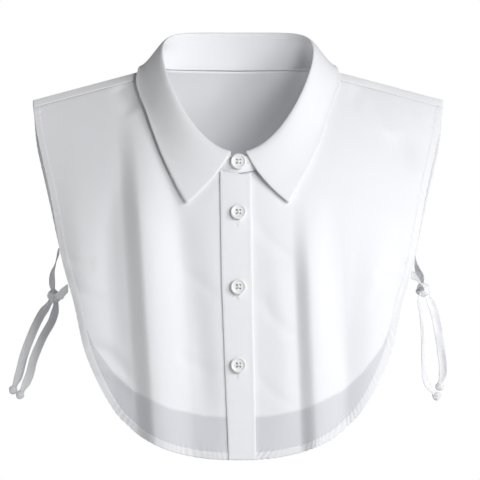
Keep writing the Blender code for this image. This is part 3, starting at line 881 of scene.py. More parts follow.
FOLDS = (
    HangingFold(1, -0.094, -0.072, -0.015, -0.140, 0.0100, 0.017, 0.036),
    HangingFold(1, 0.062, 0.072, -0.095, -0.200, 0.0085, 0.016, 0.030),
    HangingFold(1, -0.150, -0.128, -0.060, -0.200, 0.0030, 0.020, 0.026),
    HangingFold(1, 0.128, 0.112, -0.100, -0.220, 0.0030, 0.022, 0.022),
    HangingFold(-1, -0.082, -0.066, -0.030, -0.160, 0.0070, 0.024, 0.022),
    HangingFold(-1, 0.086, 0.070, -0.040, -0.180, 0.0065, 0.022, 0.026),
    HangingFold(-1, 0.010, 0.004, -0.060, -0.200, 0.0040, 0.026, 0.028),
)
TROUGHS = (
    Crease(0.104, -0.014, 0.152, -0.072, 0.0035, 0.010),
    Crease(-0.106, -0.010, -0.094, -0.028, 0.0030, 0.009),
    Crease(-0.050, -0.130, -0.030, -0.290, 0.0025, 0.013),
)
FRONT_CREASES = (
    Crease(0.110, -0.022, 0.140, -0.052, -0.0012, 0.007, 0.004),
    Crease(0.118, -0.008, 0.158, -0.034, 0.0010, 0.006, -0.003),
    Crease(0.020, -0.135, 0.046, -0.160, 0.0006, 0.005, 0.002),
    Crease(0.022, -0.200, 0.050, -0.232, 0.0007, 0.006, 0.003),
    Crease(0.020, -0.270, 0.044, -0.292, 0.0005, 0.005, 0.002),
    Crease(-0.022, -0.195, -0.048, -0.176, 0.0006, 0.006, 0.002),
    Crease(-0.024, -0.262, -0.052, -0.248, 0.0006, 0.006, -0.003),
    Crease(-0.136, -0.240, -0.098, -0.268, 0.0012, 0.006, -0.006),
    Crease(-0.126, -0.262, -0.092, -0.282, -0.0008, 0.005, -0.004),
    Crease(0.112, -0.268, 0.090, -0.300, 0.0009, 0.006, 0.005),
    Crease(0.150, -0.165, 0.126, -0.178, 0.0008, 0.005, 0.002),
    Crease(0.146, -0.182, 0.120, -0.204, 0.0009, 0.006, 0.003),
    Crease(-0.148, -0.186, -0.122, -0.200, 0.0008, 0.006, 0.003),
    Crease(-0.150, -0.165, -0.130, -0.168, 0.0006, 0.005, 0.002),
    Crease(-0.070, -0.045, -0.058, -0.110, 0.0010, 0.009, 0.004),
    Crease(0.084, -0.120, 0.092, -0.250, 0.0012, 0.011, 0.006),
    Crease(0.036, -0.180, 0.042, -0.310, -0.0010, 0.010, -0.003),
    Crease(-0.112, -0.110, -0.104, -0.240, 0.0014, 0.010, 0.004),
)
BACK_CREASES = (
    Crease(-0.110, -0.030, -0.070, -0.075, 0.0014, 0.008, 0.006),
    Crease(0.100, -0.028, 0.066, -0.066, 0.0012, 0.009, -0.005),
    Crease(-0.140, -0.150, -0.096, -0.190, 0.0012, 0.007, 0.005),
    Crease(0.142, -0.160, 0.100, -0.186, 0.0010, 0.007, -0.004),
    Crease(-0.030, -0.020, -0.040, -0.110, 0.0010, 0.010, 0.004),
    Crease(0.040, -0.016, 0.032, -0.090, 0.0010, 0.009, -0.003),
    Crease(0.030, -0.160, 0.052, -0.270, 0.0011, 0.010, 0.005),
    Crease(-0.100, -0.200, -0.092, -0.260, 0.0010, 0.009, 0.003),
)


def crease_depth(creases: tuple[Crease, ...], x: Array, z: Array) -> Array:
    """How far a set of creases sinks the cloth: a bell across each, faded at its ends.

    Args:
        creases: The creases.
        x: Places across.
        z: Heights.

    Returns:
        The depth at each place.
    """
    out = np.zeros(np.broadcast(x, z).shape)
    for crease in creases:
        run = np.array([crease.x_to - crease.x_from, crease.z_to - crease.z_from])
        length = np.linalg.norm(run)
        along = ((x - crease.x_from) * run[0] + (z - crease.z_from) * run[1]) / length**2
        aside = ((x - crease.x_from) * run[1] - (z - crease.z_from) * run[0]) / length
        aside = aside - crease.bow * (1.0 - (2.0 * np.clip(along, -0.3, 1.3) - 1.0) ** 2)
        ends = smooth((along + 0.25) / 0.4) * smooth((1.25 - along) / 0.4)
        out = out + crease.depth * ends * bell(aside / crease.width)
    return out


@dataclass
class WornForm:
    """The garment's form on a general figure, and the rings that its collar follows."""

    shoulder_half: float = 0.1845
    shoulder_end_z: float = -0.020
    shoulder_slope: float = 0.27
    nape_round: float = 0.020
    seam_drop: float = 0.007
    ridge_y: float = 0.004
    front_depth: float = 0.100
    back_depth: float = 0.070
    side_loss: float = 0.42
    side_power: float = 2.2
    full_drop: float = 0.185
    front_rounding: float = 0.85
    back_rounding: float = 0.68
    front_length: float = 0.3425
    seam_half: float = 0.078
    neck_side_angle: float = 78.0
    fold_half: float = 0.0675
    fold_back_z: float = 0.040
    fold_fall: float = 0.108
    fold_power: float = 2.6
    fold_back_y: float = 0.0270
    fold_front_y: float = -0.050
    fold_forward: float = 0.028
    fold_forward_power: float = 1.8

    def ridge(self, x: Array) -> Array:
        """Height of the shoulder ridge: a slope down from the nape, rounded there."""
        away = self.shoulder_half - np.hypot(x, self.nape_round)
        return self.shoulder_end_z + self.shoulder_slope * away

    def folds(self, x: Array, z: Array, side: int) -> Array:
        """How far the hanging folds stand out on the front (1) or the back (-1).

        Args:
            x: Places across.
            z: Heights.
            side: 1 for the front, -1 for the back.

        Returns:
            The distance at each place.
        """
        out = np.zeros(np.broadcast(x, z).shape)
        for fold in FOLDS:
            if fold.side != side:
                continue
            fall = np.clip((fold.z_top - z) / (fold.z_top + self.front_length), 0.0, 1.0)
            crest = fold.x_top + (fold.x_end - fold.x_top) * fall
            grown = smooth((fold.z_top - z) / (fold.z_top - fold.z_full))
            reach = np.where(x < crest, fold.left, fold.right)
            out = out + fold.height * grown * smooth(1.0 - np.abs(x - crest) / reach)
        return out

    def point(self, x: Array, drop: Array) -> Array:
        """A point of the form.

        The depth is a quarter sine of the drop below the shoulder ridge, less towards the sides,
        with the hanging folds and the creases on it.

        Args:
            x: Places across.
            drop: How far below the ridge, positive on the front and negative on the back.

        Returns:
            The points.
        """
        x, drop = np.broadcast_arrays(np.asarray(x, float), np.asarray(drop, float))
        fall = np.abs(drop)
        power = np.where(drop >= 0.0, self.front_rounding, self.back_rounding)
        round_off = np.sin(0.5 * math.pi * np.clip(fall / self.full_drop, 0, 1) ** power)
        loss = 1.0 - self.side_loss * (np.abs(x) / self.shoulder_half) ** self.side_power
        z = self.ridge(x) - fall
        begun = smooth(fall / self.seam_drop)
        front = -self.front_depth * loss * round_off - self.folds(x, z, 1)
        front = front + (crease_depth(TROUGHS, x, z) + crease_depth(FRONT_CREASES, x, z)) * begun
        back = self.back_depth * loss * round_off + self.folds(x, z, -1)
        back = back - crease_depth(BACK_CREASES, x, z) * smooth(fall / 0.02)
        return np.stack([x, self.ridge_y + np.where(drop >= 0.0, front, back), z], axis=-1)

    def normal(self, x: Array, drop: Array) -> Array:
        """The outward direction, from steps of 1.5 mm each way.

        Args:
            x: Places across.
            drop: As for point.

        Returns:
            The unit directions.
        """
        step = 0.0015
        across = self.point(np.add(x, step), drop) - self.point(np.subtract(x, step), drop)
        down = self.point(x, np.add(drop, step)) - self.point(x, np.subtract(drop, step))
        return unit(np.cross(down, across))

    def facing(self, x: Array, z: Array) -> Array:
        """The front's outward direction at flat places."""
        return self.normal(x, self.ridge(x) - z)

    def lifted(self, x: Array, drop: Array, out: Array) -> Array:
        """Points of the form, moved out along its normal."""
        return self.point(x, drop) + self.normal(x, drop) * out[..., None]

    def neck_height(self, angle: Array) -> Array:
        """Height of the neck seam at an angle from the middle of the back, from a table.

        Args:
            angle: Degrees from the middle of the back.

        Returns:
            The height at each.
        """
        side = self.ridge(self.seam_half * math.sin(math.radians(self.neck_side_angle)))
        angles = [0.0, 50.0, self.neck_side_angle, 95.0, 120.0, 150.0, 168.0, 180.0, 192.0]
        heights = [0.0067, 0.0074, float(side), -0.006, -0.035, -0.070, -0.0828, -0.0862, -0.0828]
        return smooth_table(angles, heights, angle)

    def neck_ring(self, angle: Array) -> Array:
        """Points of the neck seam, read on the other side past the middle of the front.

        Args:
            angle: Degrees from the middle of the back.

        Returns:
            The points.
        """
        angle = np.where(np.abs(angle) > 180.0, angle - np.sign(angle) * 360.0, angle)
        x = self.seam_half * np.sin(np.radians(angle))
        drop = np.maximum(self.ridge(x) - self.neck_height(np.abs(angle)), 0.0)
        side = np.where(np.abs(angle) > self.neck_side_angle, 1.0, -1.0)
        return self.point(x, side * drop)

    def fold_ring(self, angle: Array) -> Array:
        """Points of the collar's fold line: an ellipse that falls towards the front.

        Args:
            angle: Degrees from the middle of the back.

        Returns:
            The points.
        """
        turn = np.radians(angle)
        share = 0.5 * (1.0 - np.cos(turn))
        forward = self.fold_forward * share**self.fold_forward_power
        y = self.fold_back_y + (self.fold_front_y - self.fold_back_y) * share - forward
        z = self.fold_back_z - self.fold_fall * share**self.fold_power
        return np.stack([self.fold_half * np.sin(turn), y, z], axis=-1)

    def down_stand(self, angle: Array) -> Array:
        """The direction from the fold down to the neck seam."""
        return unit(self.neck_ring(angle) - self.fold_ring(angle))

    def off_stand(self, angle: Array) -> Array:
        """The direction in which the leaf leaves the fold, square to the stand.

        Args:
            angle: Degrees from the middle of the back.

        Returns:
            The unit directions.
        """
        turn = np.radians(angle)
        level = np.stack([np.sin(turn), np.cos(turn), np.zeros_like(turn)], axis=-1)
        down = self.down_stand(angle)
        return unit(level - down * np.sum(level * down, axis=-1, keepdims=True))


# Panels


FRONT_OUTLINE = (
    (0.1840, -0.0275),
    (0.1800, -0.053),
    (0.1680, -0.107),
    (0.1580, -0.161),
    (0.1465, -0.203),
    (0.1370, -0.245),
    (0.1220, -0.280),
    (0.1090, -0.301),
    (0.0990, -0.3115),
    (0.0860, -0.3225),
    (0.0640, -0.3335),
    (0.0380, -0.3400),
    (0.0150, -0.3424),
    (0.0, -0.3425),
)
BACK_OUTLINE = (
    (0.1845, -0.020),
    (0.1800, -0.053),
    (0.1680, -0.107),
    (0.1560, -0.161),
    (0.1430, -0.203),
    (0.1290, -0.238),
    (0.1110, -0.262),
    (0.0930, -0.278),
    (0.0610, -0.2935),
    (0.0300, -0.3000),
    (0.0, -0.302),
)
BACK_HEM_ROWS = 8


@dataclass
class Hem:
    """A narrow rolled hem: a band that stands out a little, its stitch line and its puckers."""

    line: Array
    width: float = 0.0062
    rise: float = 0.00022
    groove: float = 0.00022
    pucker: float = 0.00042
    ripple: float = 0.0051
    slant: float = 0.35
    scallop: float = 0.00018
    seed: float = 0.0
    band_blend: float = 0.0007
    groove_inset: float = 0.0004
    groove_half: float = 0.00055
    strength_wave: float = 0.061
    length_wave: float = 0.047
    reach: float = 0.014
    crest: float = 0.006
    crest_half: float = 0.003

    def relief(self, x: Array, z: Array) -> tuple[Array, Array]:
        """The hem's relief at flat places.

        The band rises inside its width, a groove runs along its stitches, and ripples of uneven
        length and strength run aslant from the edge and die out over 14 mm.

        Args:
            x: Places across.
            z: Heights.

        Returns:
            How far the cloth stands out, and how far its edge moves out in its own plane.
        """
        distance, along = nearest_on(self.line, x, z)
        band = smooth((self.width - distance) / self.band_blend + 0.5)
        groove = bell((distance - self.width + self.groove_inset) / self.groove_half)
        strength = 0.55 + 0.45 * uneven(along, self.strength_wave, self.seed)
        phase = along / self.ripple + self.slant * distance / self.ripple
        phase = phase + 0.9 * uneven(along, self.length_wave, self.seed + 2.0)
        wave = np.sin(2.0 * math.pi * phase)
        swell = 0.55 + 0.45 * bell((distance - self.crest) / self.crest_half)
        fade = smooth(1.0 - distance / self.reach) * swell
        out = self.rise * band - self.groove * groove
        out = out + self.pucker * np.maximum(strength, 0.12) * wave * fade
        move = self.scallop * np.maximum(strength, 0.2) * np.sin(2.0 * math.pi * phase + 0.8)
        return out, move * smooth(1.0 - distance / self.crest)


class Side(Enum):
    """The side of the front view that a piece lies on."""

    LEFT = -1
    RIGHT = 1


@dataclass
class FrontPanel:
    """One front bib: its cut seen from the front, laid on the worn form."""

    form: WornForm
    side: Side
    node: str
    columns: int = 150
    rows: int = 184
    wall: float = 0.0009
    # Painted shade of the sheer front: where it has no back behind it, and how light the doubled
    # hem stays.
    hem_blend: float = 0.0012
    back_reach: float = 0.005
    back_blend: float = 0.003
    unbacked_painted_level: float = 0.38
    doubled_hem_painted_level: float = 0.86
    seam_angle: float = 88.0
    neck_gap: float = 0.0012
    lap_gap: float = 0.0008
    neck_lead: float = 0.030
    under_edge_x: float = -0.0125
    lap_shift: float = 0.0008
    lap_end_x: float = 0.014
    lap_blend: float = 0.022
    corner: int = 7
    outline: tuple[tuple[float, float], ...] = FRONT_OUTLINE

    def __post_init__(self) -> None:
        """Works out the outline and its hem."""
        table = np.array(self.outline)
        heights = self._edge_heights()
        table[-1] = (self._edge_x(heights)[-1], -self.form.front_length)
        self.fine, self.along = fine_curve(table)
        line = self.fine * np.array([self.side.value, 1.0])
        strong = self.side is Side.RIGHT
        self.hem = Hem(
            line,
            pucker=0.00055 if strong else 0.00038,
            scallop=0.00045 if strong else 0.00020,
            slant=0.8 if strong else 0.25,
            seed=4.0 if strong else 1.0,
        )

    def _neckline(self) -> Array:
        """The neck edge in the flat: the neck seam moved out by the seam's gap.

        Returns:
            Flat points from the shoulder to the middle.
        """
        angle = np.linspace(self.seam_angle, 180.0, 48)
        x = self.form.seam_half * np.sin(np.radians(angle))
        seam = np.stack([x, self.form.neck_height(angle)], axis=-1)
        run = np.gradient(seam, axis=0)
        away = unit(np.stack([-run[:, 1], run[:, 0]], axis=-1))
        gap = self.neck_gap + self.lap_gap * smooth((angle - LAP_START) / LAP_SPREAD)
        line = seam + away * gap[:, None]
        line[0] = (line[0][0], self.form.ridge(line[0][0]) - self.form.seam_drop - 0.0001)
        return line

    def _edge_heights(self) -> Array:
        """Heights down the front opening's edge."""
        return np.linspace(self._neckline()[-1][1], -self.form.front_length, 20)

    def _edge_x(self, heights: Array) -> Array:
        """Where the front opening's edge lies at its heights."""
        if self.side is Side.RIGHT:
            return np.full(len(heights), self.under_edge_x)
        return -np.interp(-heights, [0.090, 0.182, 0.342], [0.0112, 0.0126, 0.0159])

    def plan(self) -> Array:
        """The cut as a grid of places across and heights.

        Four edges, the shoulder, the hem, the neck with the opening, and the side, are filled in
        between. Rows and columns crowd towards the hem.

        Returns:
            The grid, rows by columns by (x, z).
        """
        u = crowded(self.columns, 0.0, 0.45)
        v = crowded(self.rows, 0.15, 0.45)
        neckline, heights = self._neckline(), self._edge_heights()
        centre = np.stack([self._edge_x(heights), heights], axis=-1)
        lead = smooth(1.0 - neckline[:, :1] / self.neck_lead)
        neckline[:, :1] += lead * (centre[0][0] - neckline[-1][0])
        run, length = fine_curve(np.vstack([neckline, centre[1:]]), 6)
        inner = read_curve(run, length, v * length[-1])
        outer, bottom = panel_edges(self.fine, self.along, self.corner, u, v)
        top = inner[0] + (outer[0] - inner[0]) * u[:, None]
        top[:, 1] = self.form.ridge(top[:, 0]) - self.form.seam_drop - 0.0001
        outer[0] = top[-1]
        grid = coons(top, bottom, inner, outer, u, v)
        grid[..., 0] *= self.side.value
        return grid

    def place(self, x: Array, z: Array, lift: float = 0.0) -> Array:
        """Points of the cloth at flat places.

        Args:
            x: Places across.
            z: Heights.
            lift: A distance out from the middle of the cloth.

        Returns:
            The worn form's points, moved out by the lap, the hem's relief and the lift.
        """
        out, move = self.hem.relief(x, z)
        shifted = x + move * self.side.value * smooth((np.abs(x) - 0.03) / 0.05)
        low = z - move * smooth((-z - 0.28) / 0.03)
        drop = self.form.ridge(shifted) - low
        lapped = 1.0 - smooth((x * self.side.value - self.lap_end_x) / self.lap_blend)
        shift = lapped * self.lap_shift * (-self.side.value) + out + lift
        return self.form.lifted(shifted, drop, shift)

    def painted_shade(self, x: Array, z: Array) -> Array:
        """Painted shade of the sheer cloth: darker where no back lies behind it, but not in the
        doubled hem.

        Args:
            x: Places across.
            z: Heights.

        Returns:
            The painted brightness, 1 where the cloth is plain.
        """
        # Painted shade: darker below the back's hem, where no back lies behind the sheer front, but
        # kept lighter in the doubled hem.
        known = np.array(BACK_OUTLINE[: -BACK_HEM_ROWS - 1 : -1])
        hem = np.interp(np.abs(x), known[:, 0], known[:, 1]) - self.back_reach
        distance, _ = nearest_on(self.hem.line, x, z)
        doubled = smooth((self.hem.width - distance) / self.hem_blend + 0.5)
        painted_back_shade = smooth((z - hem) / self.back_blend)
        painted_back_shade = self.unbacked_painted_level + (1.0 - self.unbacked_painted_level) * painted_back_shade
        return np.maximum(painted_back_shade, self.doubled_hem_painted_level * doubled)

    def build(self) -> bpy.types.Object:
        """The panel as a closed sheet.

        Returns:
            The panel.
        """
        plan = self.plan()
        x, z = plan[..., 0], plan[..., 1]
        points, painted_shade = self.place(x, z), self.painted_shade(x, z)
        if self.side is Side.LEFT:
            points, painted_shade = points[:, ::-1], painted_shade[:, ::-1]
        return closed_sheet(f"shirting_{self.node}", points, self.wall, painted_shade)

    def stitches(self) -> bpy.types.Object:
        """The hem's stitch line, a stitch of 2 mm every 2.6 mm, inside the edge.

        Returns:
            The stitches.
        """
        places = hem_places(self.fine, 0.006, 0.012)
        middle, ahead = (
            self.place(flat[:, 0] * self.side.value, flat[:, 1], 0.5 * self.wall)
            for flat in places
        )
        x, z = places[0][:, 0] * self.side.value, places[0][:, 1]
        normal = self.form.facing(x, z)
        name = f"hem_stitches_{self.node}"
        return stitches_object(name, [(middle, ahead, normal)], STITCH_LENGTH)


@dataclass
class BackPanel:
    """The back bib, in one piece with the strips that wrap over the shoulders."""

    form: WornForm
    columns: int = 104
    neck_columns: int = 34
    rows: int = 120
    yoke_rows: int = 8
    wall: float = 0.0009
    neck_gap: float = 0.0012
    length: float = 0.302
    ease: float = 0.003
    corner: int = 6
    outline: tuple[tuple[float, float], ...] = BACK_OUTLINE

    def __post_init__(self) -> None:
        """Works out the outline and its hem."""
        self.fine, self.along = fine_curve(np.array(self.outline))
        self.hem = Hem(self.fine, pucker=0.0004, scallop=0.0002, seed=7.0)

    def place(self, x: Array, z: Array, side: int, lift: float = 0.0) -> Array:
        """Points of the back's cloth.

        Args:
            x: Distances from the middle.
            z: Heights.
            side: 1 for the right half of the front view, -1 for the left.
            lift: A distance out from the middle of the cloth.

        Returns:
            The worn form's points with the hem's relief.
        """
        out, move = self.hem.relief(x, z)
        wider = self.ease * smooth((x - 0.10) / 0.05) * smooth((-0.02 - z) / 0.05)
        across = (x + wider + move * smooth((-0.03 - z) / 0.02)) * side
        drop = -(self.form.ridge(x) - z)
        inside = smooth((self.form.ridge(x) - z) / 0.012)
        return self.form.lifted(across, drop, (out + lift) * inside)

    def _half(self, side: int) -> list[Array]:
        """One half's grid and its strip over the shoulder, each facing out.

        Args:
            side: 1 for the right of the front view, -1 for the left.

        Returns:
            The two grids.
        """
        angle = np.linspace(0.0, self.form.neck_side_angle, self.neck_columns + 1)
        neck_x = (self.form.seam_half + self.neck_gap) * np.sin(np.radians(angle))
        neck_z = self.form.neck_height(angle) - self.neck_gap * np.cos(np.radians(angle))
        neckline = np.stack([neck_x, neck_z], axis=-1)
        neckline[-1][1] = self.form.ridge(neck_x[-1])
        rest = self.columns - self.neck_columns
        shoulder_x = np.linspace(neck_x[-1], self.form.shoulder_half, rest + 1)[1:]
        shoulder = np.stack([shoulder_x, self.form.ridge(shoulder_x)], axis=-1)
        top = np.vstack([neckline, shoulder])
        u = np.linspace(0.0, 1.0, self.columns + 1)
        v = crowded(self.rows, 0.1, 0.4)
        outer, bottom = panel_edges(self.fine, self.along, self.corner, u, v)
        heights = top[0][1] + (-self.length - top[0][1]) * v
        inner = np.stack([np.zeros_like(heights), heights], axis=-1)
        grid = coons(top, bottom, inner, outer, u, v)
        cloth = self.place(grid[..., 0], grid[..., 1], side)
        share = np.linspace(0.0, 1.0, self.yoke_rows + 1)[1:, None]
        start = neck_x[-1] + 0.0010 * share
        strip_x = start + (self.form.shoulder_half - start) * np.linspace(0, 1, rest + 1)[None]
        drop = (self.form.seam_drop - 0.0001) * share + 0.0 * strip_x
        strip = self.form.point(strip_x * side, drop)
        strip = np.concatenate([cloth[:1, self.neck_columns :], strip])[::-1]
        return [cloth[:, ::-1], strip] if side > 0 else [cloth, strip[:, ::-1]]

    def build(self) -> bpy.types.Object:
        """The back as one sheet."""
        return joined_sheet("shirting_back", [*self._half(1), *self._half(-1)], self.wall)

    def stitches(self) -> bpy.types.Object:
        """The hem's stitch line on both halves.

        Returns:
            The stitches.
        """
        flat, ahead = hem_places(self.fine, 0.016, 0.001)
        drop = flat[:, 1] - self.form.ridge(flat[:, 0])
        rows = []
        for side in (1, -1):
            middle = self.place(flat[:, 0], flat[:, 1], side, 0.5 * self.wall)
            following = self.place(ahead[:, 0], ahead[:, 1], side, 0.5 * self.wall)
            rows.append((middle, following, self.form.normal(flat[:, 0] * side, drop)))
        return stitches_object("hem_stitches_back", rows, STITCH_LENGTH)


@dataclass
class Placket:
    """The band down the over front, made from that front's points and moved out."""

    front: FrontPanel
    columns: int = 26
    rows: int = 260
    wall: float = 0.0009
    lift: float = 0.0013
    heights: tuple[float, ...] = (-0.0900, -0.1820, -0.3420)
    top_gap: float = 0.0027
    lefts: tuple[float, ...] = (-0.0158, -0.0144, -0.0080)
    rights: tuple[float, ...] = (0.0112, 0.0126, 0.0159)

    def edge(self, z: Array, right: bool) -> Array:
        """Where an edge of the band lies at a height."""
        known = [-height for height in self.heights]
        return np.interp(-z, known, self.rights if right else self.lefts)

    def place(self, share: Array, z: Array, out: float = 0.0) -> Array:
        """Points of the band at a share of its width, with a soft roll at both edges.

        Args:
            share: 0 at the left edge and 1 at the right.
            z: Heights.
            out: A distance out from its middle.

        Returns:
            The points.
        """
        left, right = self.edge(z, False), self.edge(z, True)
        x = left + (right - left) * share
        drop = self.front.form.ridge(x) - z
        ripple = 0.00016 * uneven(z, 0.013, 3.0) * (1.0 - share) ** 2
        ripple = ripple + 0.00010 * uneven(z, 0.017, 6.0) * share**2
        lapped = 1.0 - smooth((-x - self.front.lap_end_x) / self.front.lap_blend)
        shift = self.front.lap_shift * lapped + self.lift + ripple + out
        return self.front.form.lifted(x, drop, shift)

    def build(self) -> bpy.types.Object:
        """The band as a closed sheet.

        Returns:
            The band.
        """
        share = np.linspace(0.0, 1.0, self.columns + 1)[None, :]
        x = self.lefts[0] + (self.rights[0] - self.lefts[0]) * share
        angle = 180.0 - np.degrees(np.arcsin(np.abs(x) / self.front.form.seam_half))
        top = self.front.form.neck_height(angle) - self.top_gap
        down = np.linspace(0.0, 1.0, self.rows + 1)[:, None]
        z = top + (-self.front.form.front_length - top) * down
        share, z = np.broadcast_arrays(share, z)
        return closed_sheet("shirting_placket", self.place(share, z), self.wall)

    def stitches(self) -> bpy.types.Object:
        """A stitch line down each edge, 1.6 mm and 2.7 mm in.

        Returns:
            The stitches.
        """
        bottom = -self.front.form.front_length + 0.002
        spots = np.arange(self.heights[0] - 0.002, bottom, -STITCH_PITCH)
        x = self.edge(spots, False)
        normal = self.front.form.facing(x, spots)
        rows = []
        for share in (0.06, 0.90):
            column = np.full(len(spots), share)
            middle = self.place(column, spots, 0.5 * self.wall)
            ahead = self.place(column, spots - STITCH_AHEAD, 0.5 * self.wall)
            rows.append((middle, ahead, normal))
        return stitches_object("placket_stitches", rows, STITCH_LENGTH)


# Collar


@dataclass
class Collar:
    """The stand round the neck and the pointed leaf that folds over it."""

    form: WornForm
    wall: float = 0.0015
    fold_cap: float = 0.0042
    lap_angle: float = 12.0
    lap_offset: float = 0.0012
    belly: float = 0.0015
    fall_end_angle: float = 174.0
    fall_lift: float = 0.0040
    fold_roll: float = 0.0040
    front_roll: float = 0.0015
    seam_ease: float = 0.0045
    front_ease: float = 0.0005
    ease_share: float = 0.18
    ease_lean: float = 0.6
    front_start: float = 110.0
    front_spread: float = 40.0
    ridge_share: float = 0.42
    crest: float = 0.00035
    inner_drops: tuple[float, ...] = (0.0036, 0.0022, 0.0011)
    outer_shares: tuple[float, ...] = (
        *(0.03, 0.07, 0.13, 0.22, 0.32, 0.42),
        *(0.52, 0.62, 0.72, 0.82, 0.91, 1.0),
    )
    stand_columns: int = 330
    stand_rows: int = 20
    fall_columns: int = 340
    fall_edge: tuple[tuple[float, float, float], ...] = (
        (0.00, 0.0000, 0.0000),
        (0.15, 0.0330, 0.0005),
        (0.30, 0.0640, 0.0020),
        (0.40, 0.0860, 0.0066),
        (0.47, 0.0905, -0.0040),
        (0.55, 0.0870, -0.0180),
        (0.62, 0.0815, -0.0330),
        (0.70, 0.0760, -0.0500),
        (0.78, 0.0695, -0.0670),
        (0.86, 0.0615, -0.0840),
        (0.93, 0.0535, -0.0990),
        (1.00, 0.0450, -0.1135),
    )

    def stand_place(self, angle: Array, share: Array, out: float = 0.0) -> Array:
        """Points of the stand.

        Each lies between the neck seam (share 0) and just under the fold (share 1), bellied out
        by half a sine, and one end is moved out over the other where they lap.

        Args:
            angle: Degrees from the middle of the back, past 180 where the ends lap.
            share: The share of the stand's height.
            out: A distance out from its middle.

        Returns:
            The points.
        """
        over = smooth((-angle - LAP_START) / LAP_SPREAD)
        under = smooth((angle - LAP_START) / LAP_SPREAD)
        low, fold = self.form.neck_ring(angle), self.form.fold_ring(angle)
        down = low - fold
        high = fold + unit(down) * self.fold_cap
        bulge = self.belly * np.sin(math.pi * share)
        shift = self.lap_offset * (over - under) + bulge + out
        return low + (high - low) * share[..., None] + self.form.off_stand(angle) * shift[..., None]

    def build_stand(self) -> bpy.types.Object:
        """The stand as a closed sheet.

        Returns:
            The stand.
        """
        reach = 180.0 + self.lap_angle
        angle = np.linspace(-reach, reach, self.stand_columns + 1)[None, :]
        share = crowded(self.stand_rows, 0.3, 0.3)[:, None]
        angle, share = np.broadcast_arrays(angle, share)
        return closed_sheet("shirting_collar_stand", self.stand_place(angle, share), self.wall)

    def fall_rows(self) -> list[Array]:
        """The rows of points that the leaf passes through.

        From just above the stand's edge it rises inside, turns over the fold with a small radius
        and follows a cubic that leaves square to the stand and settles on the shoulders.

        Returns:
            The rows, from the inside to the outer edge.
        """
        share = np.linspace(-1.0, 1.0, self.fall_columns + 1)
        angle, sign = share * self.fall_end_angle, np.where(share < 0, -1.0, 1.0)
        table = np.array(self.fall_edge)
        x = smooth_table(table[:, 0], table[:, 1], np.abs(share))
        z = smooth_table(table[:, 0], table[:, 2], np.abs(share))
        side = np.where(np.abs(share) > self.ridge_share, 1.0, -1.0)
        drop = side * np.maximum(self.form.ridge(x) - z, 0.0)
        normal = self.form.normal(x * sign, drop)
        low = self.form.point(x * sign, drop) + normal * self.fall_lift
        high, neck = self.form.fold_ring(angle), self.form.neck_ring(angle)
        off, down = self.form.off_stand(angle), self.form.down_stand(angle)
        front = smooth((np.abs(angle) - self.front_start) / self.front_spread)[:, None]
        roll = high + off * (self.fold_roll + self.front_roll * front)
        lean = self.ease_lean * off + (1.0 - self.ease_lean) * normal
        rise = self.seam_ease + self.front_ease * front
        ease = neck + (low - neck) * self.ease_share + lean * rise
        rows = [
            *(high + down * drop for drop in self.inner_drops),
            high + (down + off) * self.crest,
        ]
        for v in self.outer_shares:
            first = (1 - v) ** 3 * high + 3 * v * (1 - v) ** 2 * roll
            rows.append(first + 3 * v * v * (1 - v) * ease + v**3 * low)
        return rows

    def build_fall(self) -> bpy.types.Object:
        """The leaf as a closed sheet, smooth through its rows.

        Returns:
            The leaf.
        """
        rows = np.array(self.fall_rows())
        count, columns = rows.shape[:2]
        fine, _ = fine_curve(rows.reshape(count, columns * 3), 4)
        points = fine.reshape(-1, columns, 3)[:, ::-1]
        return closed_sheet("shirting_collar_fall", points, self.wall)

    def seam_stitches(self) -> bpy.types.Object:
        """The stitch line inside the stand, just above the neck seam.

        Returns:
            The stitches.
        """
        angle = np.arange(-176.0, 176.0, 1.15)
        share = np.full(len(angle), 0.07)
        middle = self.stand_place(angle, share, -0.5 * self.wall)
        ahead = self.stand_place(angle + 0.3, share, -0.5 * self.wall)
        rows = [(middle, ahead, -self.form.off_stand(angle))]
        return stitches_object("stand_stitches", rows, 0.0012, 0.00036)


# Buttons


